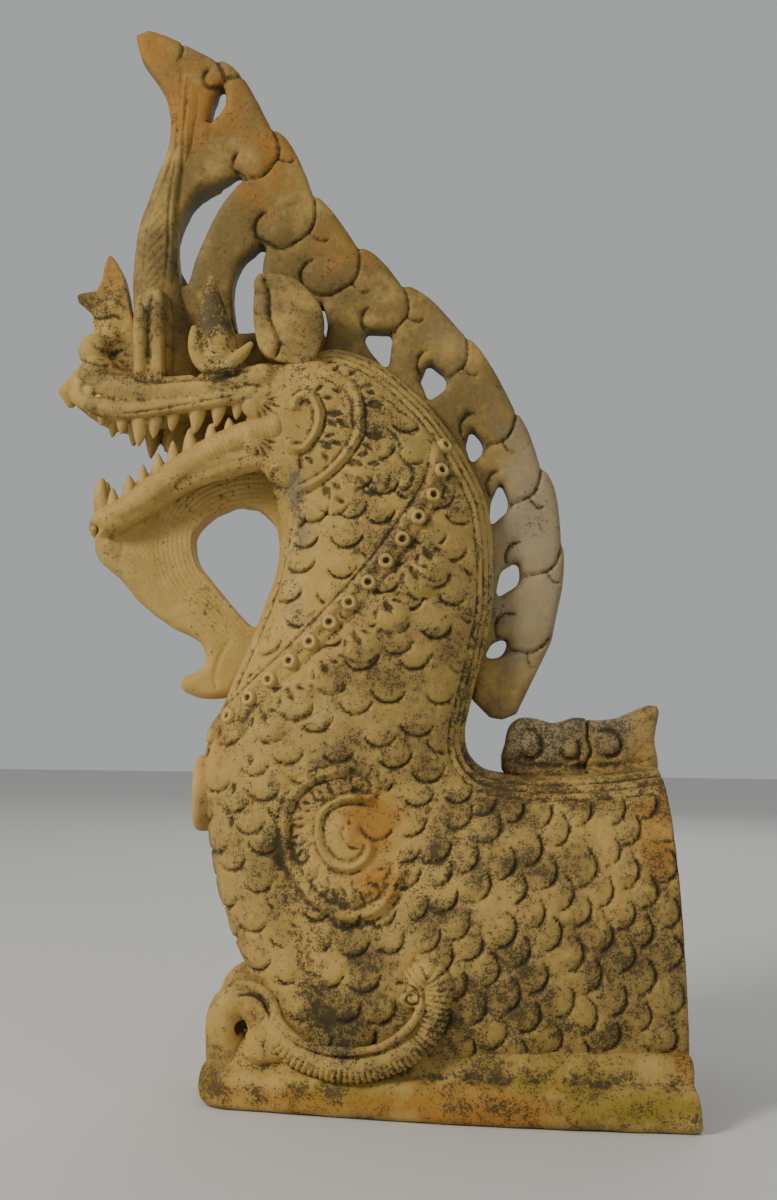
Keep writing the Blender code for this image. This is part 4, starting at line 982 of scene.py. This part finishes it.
def build_teeth():
    teeth = []
    taper = np.linspace(1, 0.05, 9) ** 0.66
    for side in SIDES:
        for x, z, root, radius in UPPER_TEETH:
            y = side * HEAD_HALF * (0.44 + 0.5 * (x + 235) / 110)
            line = curve([(x + 1, y, z + root), (x + 1.2, y, z + root * 0.5), (x, y * 0.97, z)], 9)
            teeth.append(tube(line, taper * radius))
        for x, z, root, radius in LOWER_TEETH:
            y = side * HEAD_HALF * (0.42 + 0.42 * (x + 235) / 110)
            line = curve([(x + 3, y, z - root), (x + 1, y, z - root * 0.5), (x, y * 1.03, z)], 9)
            teeth.append(tube(line, taper * radius))
        x, z, root, radius = FANG
        line = curve([(x + 6, side * 7, z - root), (x + 1, side * 8, z - root * 0.5), (x, side * 8, z)], 9)
        teeth.append(tube(line, np.linspace(1, 0.15, 9) ** 0.7 * radius))
    # the tongue, low in the mouth
    teeth.append(ball((-146, 0, 398), (42, 12, 26)))
    v, quads = fused(teeth, 1.1, 2)
    carved("teeth", v, quads, None, 0.2)


def build_ears():
    v, quads = fused([plate(closed(EAR, 60), 4.5, y=side * 36.5) for side in SIDES[::-1]], 1.2, 5)
    relief = Relief(v, quads)
    fold = curve([(-121, 502), (-117, 494), (-116, 477), (-112, 466), (-109, 459), (-112, 449)], 40)
    relief.line(fold, 1.0, -2.0, 0.7, fade=0.05)
    relief.line(fold + [-4.5, 0], 3.2, 1.8)
    relief.dome((-99, 474), 17.0, 3.0)
    carved("ears", v, quads, relief, 0.25)


def build_cheeks():
    """The rounds of the cheeks, each with two knobs that carry the fans."""
    cheeks = []
    for side in SIDES:
        cheeks.append(ball((-92, side * 36, 406), (39, 13, 44)))
        for x, z in ((-120, 419), (-120, 395)):
            cheeks.append(ball((x, side * 41, z), (14, 7, 12)))
    v, quads = fused(cheeks, 0.95)
    relief = Relief(v, quads)
    cheek_marks(relief)
    carved("cheeks", v, quads, relief, 0.25)


# Lower jaw and beard

JAW = (
    (-100, 404), (-128, 402), (-151, 394), (-170, 386), (-193, 366), (-209, 353), (-230, 350), (-235, 344),
    (-229, 339), (-232, 334), (-231, 325), (-228, 318), (-221, 312), (-213, 305), (-200, 290), (-180, 275),
    (-163, 267), (-157, 258), (-158, 250), (-164, 245), (-171, 242), (-173, 237), (-169, 232), (-156, 228),
    (-141, 230), (-134, 238), (-118, 262), (-100, 300), (-88, 350))
BEARD_HOLE = (
    (-152, 352), (-162, 344), (-167, 332), (-164, 318), (-148, 299), (-133, 281), (-124, 276), (-121, 282),
    (-111, 311), (-109, 324), (-112, 342), (-123, 354), (-137, 357))


JAW_LIP = ((-108, 404, 0.90), (-135, 396, 0.80), (-160, 384, 0.70), (-183, 369, 0.60), (-205, 352, 0.50),
           (-222, 344, 0.36), (-227, 342, 0.0))
JAW_ROLL = ((-112, 389, 34), (-140, 382, 32), (-168, 374, 27), (-196, 357, 21), (-218, 346, 13))
# Lines that the combing follows: round the gap, down the lock, and along the roll that short strokes cross.
GAP_RIM = (
    (-112, 368), (-137, 366), (-158, 358), (-170, 344), (-172, 328), (-166, 310), (-150, 293), (-133, 275),
    (-128, 262))
LOCK = ((-205, 340), (-190, 318), (-170, 298), (-150, 281))
ROLL_TOP = ((-228, 347), (-209, 356), (-186, 374), (-160, 388), (-130, 398), (-108, 402))
JAW_CUTS = (
    (((-226, 345), (-209, 345), (-190, 354), (-172, 367), (-150, 377), (-120, 384)), 40, 2.6, -1.0, 0.12),
    (((-226, 335), (-218, 333), (-213, 327), (-215, 318)), 24, 1.8, -1.0, 0.1))


def build_jaw():
    outline = closed(JAW, 190)
    shapes = [plate(outline, 15.0, [curve(list(BEARD_HOLE) + [BEARD_HOLE[0]], 60)[:-1]])]
    near = [(x, y * HEAD_HALF, z) for x, z, y in JAW_LIP]
    far = [(x, -y, z) for x, y, z in near[-2::-1]]
    shapes.append(tube(curve(near + far, 60), 10.5, 24))
    for side in SIDES:
        shapes.append(tube(on_side(curve(JAW_ROLL, 30), side), 10.0, 24))
    shapes.append(ball((-222, 0, 328), (11, 17, 11)))
    v, quads = fused(shapes, 0.92, 6)
    relief = Relief(v, quads)
    flat = smooth_step(np.abs(v[:, 1]), 9, 13) * smooth_step(np.abs(v[:, 1]), 24, 18)
    beard = smooth_step(v[:, 2], 352, 336)
    v[:, 1] *= 1 + (thin_edge(relief, outline) - 1) * beard
    idx, d, run = relief.along(curve(GAP_RIM, 60), 30)
    shown = smooth_step(np.abs(d), 30, 14) * np.clip(np.minimum(run, run.max() - run) / 20, 0, 1) * flat[idx]
    relief.h[idx] += 0.28 * np.sin(2 * math.pi * d / 3.2 + 0.6 * np.sin(run / 17)) * shown
    idx, d, run = relief.along(curve(LOCK, 30), 16)
    relief.h[idx] += 0.16 * np.sin(2 * math.pi * d / 3.0) * smooth_step(np.abs(d), 16, 6) * flat[idx]
    idx, d, run = relief.along(curve(ROLL_TOP, 60), 14)
    relief.h[idx] += 0.18 * np.sin(2 * math.pi * run / 2.9 + 0.3 * d) * smooth_step(np.abs(d), 14, 7)
    relief.strokes(JAW_CUTS)
    relief.line(curve([(-140, 268), (-147, 255), (-150, 242), (-148, 233)], 20), 1.6, -0.9, 0.15, where=flat)
    carved("jaw_and_beard", v, quads, relief, 0.35, 3.2)


# Crest of ten plumes, its front blade and the fin on the back

NOTCHES = (
    (-160, 663), (-120, 615), (-91, 569), (-60, 533), (-30, 507), (13, 473), (47, 422), (64, 385),
    (78, 335), (73, 275))
CREST_TIP = ((-210, 664), (-214, 679), (-205, 683))
CREST_END = ((66, 257), (58, 240), (49, 221), (40, 217), (32, 218))
CREST_INSIDE = ((20, 230), (20, 268), (22, 330), (4, 386), (-20, 420), (-50, 438), (-90, 440), (-200, 436))
CREST_FRONT = ((-206, 455), (-208, 505), (-207, 530), (-198, 565), (-188, 600), (-188, 632))
PLUME_BULGE = (1.0, 7.0, 5.5, 3.0, 4.5, 5.5, 4.0, 3.0, 5.5, 3.5, 1.0)
VOLUTES = (
    (-130, 595, 14), (-112, 547, 11), (-79, 516, 12), (-39, 492, 12), (2, 462, 12), (31, 414, 11),
    (50, 377, 11), (63, 328, 12), (57, 275, 12))
CREST_CUTS = (
    (((-154, 644), (-156, 632), (-162, 619)), (1.5, 4, 1)),
    (((-140, 582), (-164, 560), (-176, 529), (-176, 506)), (2, 9, 8, 2)),
    (((-124, 533), (-132, 518), (-134, 499), (-133, 474)), (2, 8, 10, 8)),
    (((-84, 494), (-85, 480), (-86, 462)), (1, 5, 3)), (((-45, 476), (-45, 469), (-40, 452)), (8, 9, 2)),
    (((-11, 455), (-8, 442), (-11, 430)), (2, 9, 1)), (((18, 410), (20, 399), (18, 388)), (1.5, 6, 1.5)),
    (((38, 374), (37, 360), (31, 347)), (1.5, 6, 1.5)), (((49, 321), (44, 311), (36, 299)), (2, 7, 1.5)),
    (((42, 269), (36, 263), (29, 258)), (2, 5, 1.5)))
# Groove round a plume's foot, from its notch, and the small tail beside it.
PLUME_HEADING = math.radians(-131.8)
PLUME_LENGTH = 25.5
PLUME_LINE = (
    (0, 3), (2, -8), (2, -18), (-1, -25), (-8, -31), (-17, -36), (-26, -35), (-33, -31), (-36, -24),
    (-34, -17), (-28, -12))
PLUME_TAIL = ((-2, -25), (3, -29), (8, -31), (12, -29))
GAP_WALL = ((-160, 576), (-169, 561), (-177, 540), (-180, 515), (-177, 492))
TIP_CUTS = (((-160, 668), (-157, 660), (-153, 650), (-152, 644)), ((-152, 648), (-146, 649), (-140, 651)),
            ((-153, 645), (-160, 641), (-165, 644), (-166, 651), (-161, 655)))
# Front plume: height, front and back edge, share of its full thickness; then its inner and outer carved line.
BLADE_HALF = 21.0
BLADE_KEYS = (
    (430, -209, -160, 1.00), (480, -211, -172, 0.96), (512, -212, -180, 0.90), (545, -209, -181, 0.82),
    (577, -199, -178, 0.74), (607, -190, -170, 0.68), (634, -192, -164, 0.62), (656, -204, -168, 0.56),
    (672, -212, -184, 0.46), (681, -213, -200, 0.25))


BLADE_INNER = (
    (-179, 669), (-179, 651), (-181, 629), (-182, 608), (-182, 588), (-185, 560), (-185, 533), (-186, 500))
BLADE_OUTER = (
    (-206, 672), (-200, 655), (-190, 630), (-187, 608), (-196, 576), (-205, 548), (-208, 520), (-208, 480))


def build_crest():
    ring = [np.array(CREST_TIP[:2])]
    edge = [CREST_TIP[-1]] + list(NOTCHES) + [CREST_END[0]]
    for start, end, bulge in zip(edge, edge[1:], PLUME_BULGE):
        ring.append(bulged(start, end, bulge))
    ring += [np.array(CREST_END), np.array(CREST_INSIDE), curve(CREST_FRONT, 30)]
    outline = np.vstack(ring)
    cuts = [slot(spine, widths) for spine, widths in CREST_CUTS]
    v, quads = fused([plate(outline, 12.0, cuts)], 1.2, 3)
    relief = Relief(v, quads)
    rims = [np.vstack([outline, outline[:1]])] + [np.vstack([c, c[:1]]) for c in cuts]
    close = np.full(len(v), 99.0)
    for rim in rims:
        idx, d, _ = relief.near(rim, 8)
        close[idx] = np.minimum(close[idx], d)
    t = np.clip(close / 7, 0, 1)
    v[:, 1] *= 0.62 + 0.38 * np.sqrt(1 - (1 - t) ** 2)
    face = smooth_step(np.abs(v[:, 1]), 4, 8)
    # the long gap's front wall slopes, so that it shows from the side; the walls of all openings and the edge
    # get painted grey shade
    idx, d, _ = relief.near(curve(GAP_WALL, 40), 9)
    v[idx, 0] += 0.42 * v[idx, 1] * np.exp(-(d / 4.5) ** 2)
    stain_and_wall_shade = smooth_step(close, 4.0, 1.0) * smooth_step(np.abs(v[:, 1]), 8.5, 6.0) * 0.9
    for (x, z, radius), notch in zip(VOLUTES, NOTCHES[1:]):
        way = math.atan2(z - notch[1], x - notch[0]) - PLUME_HEADING
        size = min(max(math.hypot(z - notch[1], x - notch[0]) / PLUME_LENGTH, 0.86), 1.05)
        c, s = math.cos(way) * size, math.sin(way) * size
        foot, tail = (curve([(notch[0] + a * c - b * s, notch[1] + a * s + b * c) for a, b in line], 50)
                      for line in (PLUME_LINE, PLUME_TAIL))
        relief.line(foot, 1.05, -2.4, 0.62, fade=0.08, where=face)
        relief.line(tail, 0.9, -2.0, 0.5, where=face)
        relief.line(foot[18:], 4.5, -1.4, 0.2, where=face)
        relief.dome((x, z), radius * 0.8, 1.8)
    relief.line(curve([(-182, 678), (-181, 668), (-184, 658)], 14), 1.1, -2.0, 0.7, where=face)
    for line in TIP_CUTS:
        relief.line(curve(line, 20), 1.4, -2.2, 0.8, where=face)
    relief.dome((-166, 610), 4.0, 1.2)
    carved("crest", v, quads, relief, 0.3, stain_and_wall_shade=stain_and_wall_shade)


def build_front_plume():
    blade, a = [], around(36)
    for z, front, back, share in curve(BLADE_KEYS, 40):
        x = (front + back) / 2 + rounded(np.cos(a), 0.8) * (back - front) / 2
        y = rounded(np.sin(a), np.where(np.cos(a) > 0, 0.5, 0.9)) * BLADE_HALF * share
        blade.append(np.column_stack([x, y, np.full(36, z)]))
    v, quads = fused([loft(blade)], 1.0, 3)
    relief = Relief(v, quads)
    inner, outer = curve(BLADE_INNER, 60), curve(BLADE_OUTER, 60)
    for shift in (-2.0, 3.0):
        relief.line(inner + [shift, 0], 1.0, -1.1, 0.3)
    relief.line(outer + [5, 0], 0.9, -0.7, 0.1)
    # slanting strokes between the two
    for z in np.arange(470, 626, 7.5):
        a = np.interp(z, outer[::-1, 1], outer[::-1, 0]) + 6
        b = np.interp(z + 16, inner[::-1, 1], inner[::-1, 0]) - 4
        relief.line([(a, z), (b, z + 16)], 1.3, -0.6, 0.0, fade=0.2)
    carved("front_plume", v, quads, relief, 0.3, 2.6)


FIN = (
    (42, 200), (45, 212), (52, 218), (62, 218), (75, 215), (89, 219), (101, 217), (117, 219), (130, 225),
    (139, 228), (143, 224), (140, 206), (138, 180), (80, 176), (45, 180), (40, 190))
FIN_CURLS = ((57, 199, 13, 110), (84, 197, 9, 60), (110, 200, 12, 130))


def build_fin():
    ring = closed(FIN, 100)
    shapes = [plate(ring, 12.0)] + [ball((x, 0, z), (r, 15, r)) for x, z, r, _ in FIN_CURLS]
    v, quads = fused(shapes, 1.2, 5)
    relief = Relief(v, quads)
    v[:, 1] *= thin_edge(relief, ring)
    for x, z, r, start in FIN_CURLS:
        relief.line(spiral((x - 1, z), r, r * 0.5, start, -0.72), 1.3, -2.4, 0.7)
    # the crack that runs down the fin
    relief.line([(96, 224), (95, 207), (98, 197), (94, 188), (96, 180)], 0.8, -3.0, 1.0, fade=0)
    relief.dome((92, 186), 4.5, -4.0)
    relief.line(curve([(42, 190), (70, 187), (110, 188), (138, 192)], 30), 2.0, -1.6, 0.5)
    carved("back_fin", v, quads, relief, 0.3)


# Laid-on ornament: beads of the strap, side curls and breast disc

# Band, rail, arch and rim: x, z, distance from the middle plane.
BAND = ((-106, 28, 50), (-94, 15, 58), (-75, 7, 66), (-50, 6, 73), (-26, 15, 77), (-11, 27, 78), (-5, 44, 78),
        (-4, 57, 78), (-10, 64, 78), (-19, 57, 78))
BAND_RAIL = (
    (-103, 33, 56), (-93, 24, 66), (-78, 18, 74), (-58, 17, 80), (-38, 21, 84), (-23, 31, 86),
    (-15, 43, 86), (-16, 52, 85))
RIB_PITCH = 3.4
ARCH_RIM = ((-128, 50, 49), (-117, 50, 51), (-107, 44, 54), (-102, 34, 56), (-101, 24, 56))
ARCH = (
    (-135, -4, 36), (-136, 25, 38), (-131, 37, 40), (-122, 40, 42), (-114, 34, 44), (-111, 22, 45),
    (-113, 6, 45))


BEAD_SPACING = 17.5
# Turned section of a bead: radius, height above the skin.
BEAD = ((5.0, -3), (5.1, 1.8), (4.6, 3.4), (3.4, 4.2), (2.3, 3.6), (1.6, 1.4), (0.3, 0.8))


def build_beads(tree):
    beads, a = [], around(24)[:, None]
    for side in SIDES:
        for x, z in even(STRAP, BEAD_SPACING):
            slope = np.array([side_of(tree, x - 4, z) - side_of(tree, x + 4, z), 8.0,
                              side_of(tree, x, z - 4) - side_of(tree, x, z + 4)])
            out = slope / np.linalg.norm(slope)
            u = np.cross(out, (1.0, 0, 0))
            u /= np.linalg.norm(u)
            w = np.cross(out, u)
            foot = np.array([x, side_of(tree, x, z), z])
            v, f = loft([foot + out * up + r * (np.cos(a) * u + np.sin(a) * w) for r, up in BEAD])
            beads.append((v * [1, side, 1], f))
    v, quads = fused(beads, 0.8, 2)
    carved("strap_beads", v, quads, None, 0.15, 1.0)


# Turned section of the disc: x, radius.
BREAST_DISC = ((-142, 24), (-158, 25), (-161, 24.4), (-162.4, 22), (-162.6, 14), (-161.6, 8), (-161.4, 1))


def build_side_curls():
    """Ribbed band with its inner rail, the arch in front of it, and their knobs."""
    shapes = []
    for side in SIDES:
        shapes.append(tube(on_side(curve(BAND, 120), side), 9.6, 28))
        shapes.append(tube(on_side(curve(BAND_RAIL, 60), side), 2.6, 12))
        shapes.append(ball((-20, side * 80, 50), (7, 7, 7)))
        shapes.append(tube(on_side(curve(ARCH, 40), side), np.linspace(12.5, 11.0, 40), 24))
        shapes.append(tube(on_side(curve(ARCH_RIM, 30), side), 3.0, 12))
        shapes.append(ball((-102, side * 46, 14), (13, 13, 13)))
        shapes.append(ball((-117, side * 38, 30), (10, 10, 12)))
    v, quads = fused(shapes, 0.85, 3)
    relief = Relief(v, quads)
    outer = smooth_step(np.abs(v[:, 1]), 58, 64)
    idx, d, run = relief.along(curve([(x, z) for x, z, _ in BAND], 140), 12)
    gap = np.abs(np.mod(run / RIB_PITCH, 1) - 0.5) * RIB_PITCH
    ribs = np.exp(-(gap / 0.85) ** 2)
    shown = smooth_step(-d, -1.0, 1.5) + smooth_step(run, 96, 104) * smooth_step(d, 7.5, 5)
    shown = np.clip(shown, 0, 1) * outer[idx] * smooth_step(run, 6, 14)
    relief.h[idx] -= 1.1 * ribs * shown
    # painted shade between the ribs
    relief.painted_shade[idx] = np.maximum(relief.painted_shade[idx], 0.55 * ribs * shown)
    relief.line(spiral((-20, 50), 6.5, 2.0, 100, -1.1), 0.9, -1.3, 0.9, fade=0)
    relief.line(curve([(-128, 44), (-118, 45), (-110, 40), (-106, 30)], 30), 1.0, -1.5, 0.9)
    relief.almond((-125, 23), 70, 5.0, 3.0, 4.0, 1.0)
    carved("side_curls", v, quads, relief, 0.35)


def build_disc():
    disc, a = [], around(64)
    for x, r in BREAST_DISC:
        disc.append(np.column_stack([np.full(64, float(x)), np.cos(a) * r, 166 + np.sin(a) * r]))
    v, quads = fused([loft(disc)], 1.1, 2)
    carved("breast_disc", v, quads, None, 0.25)


trunk_side = build_trunk()
build_slab()
build_upper_head()
build_teeth()
build_ears()
build_cheeks()
build_jaw()
build_crest()
build_front_plume()
build_fin()
build_beads(trunk_side)
build_side_curls()
build_disc()


# Floor, light and camera

def plain(name, colour, roughness):
    material = bpy.data.materials.new(name)
    material.use_nodes = True
    shader = material.node_tree.nodes["Principled BSDF"]
    shader.inputs["Base Color"].default_value = colour
    shader.inputs["Roughness"].default_value = roughness
    return material


floor_mesh = bpy.data.meshes.new("floor")
floor_mesh.from_pydata([(-4, -3, 0), (4, -3, 0), (4, 5, 0), (-4, 5, 0)], [], [(0, 1, 2, 3)])
floor_mesh.materials.append(plain("pale_floor", (0.62, 0.61, 0.58, 1.0), 0.8))
floor = stood("floor", floor_mesh)


def area_light(name, place, aim, size, power, colour):
    data = bpy.data.lights.new(name, "AREA")
    data.size = size
    data.energy = power
    data.color = colour
    lamp = stood(name, data)
    lamp.location = place
    lamp.rotation_euler = (Vector(aim) - Vector(place)).to_track_quat("-Z", "Y").to_euler()


area_light("key", (-1.75, -1.35, 1.55), (-0.05, 0.0, 0.33), 0.6, 46.0, (1.0, 0.95, 0.86))
area_light("fill", (1.9, -1.6, 0.8), (0.0, 0.0, 0.3), 1.8, 6.0, (0.95, 0.97, 1.0))
area_light("back", (0.6, 2.0, 1.6), (0.0, 0.0, 0.35), 1.6, 12.0, (1.0, 0.98, 0.95))

world = bpy.data.worlds.new("studio")
world.use_nodes = True
sky = world.node_tree.nodes["Background"].inputs
sky["Color"].default_value = (0.72, 0.75, 0.76, 1.0)
sky["Strength"].default_value = 0.55
bpy.context.scene.world = world

camera_data = bpy.data.cameras.new("camera")
camera_data.lens = 45.0
camera_data.sensor_fit = "VERTICAL"
camera_data.sensor_height = 36.0
camera = stood("camera", camera_data)
# about 1 m off, looking slightly up, with the photo's slight roll
pitch, roll = math.atan(112 / 1500), math.radians(0.75)
camera.matrix_world = (Matrix.Translation((-0.0365, -1.0, 0.246))
                       @ Matrix.Rotation(math.radians(90) + pitch, 4, "X")
                       @ Matrix.Rotation(roll, 4, "Z"))
bpy.context.scene.camera = camera

bpy.context.view_layer.update()
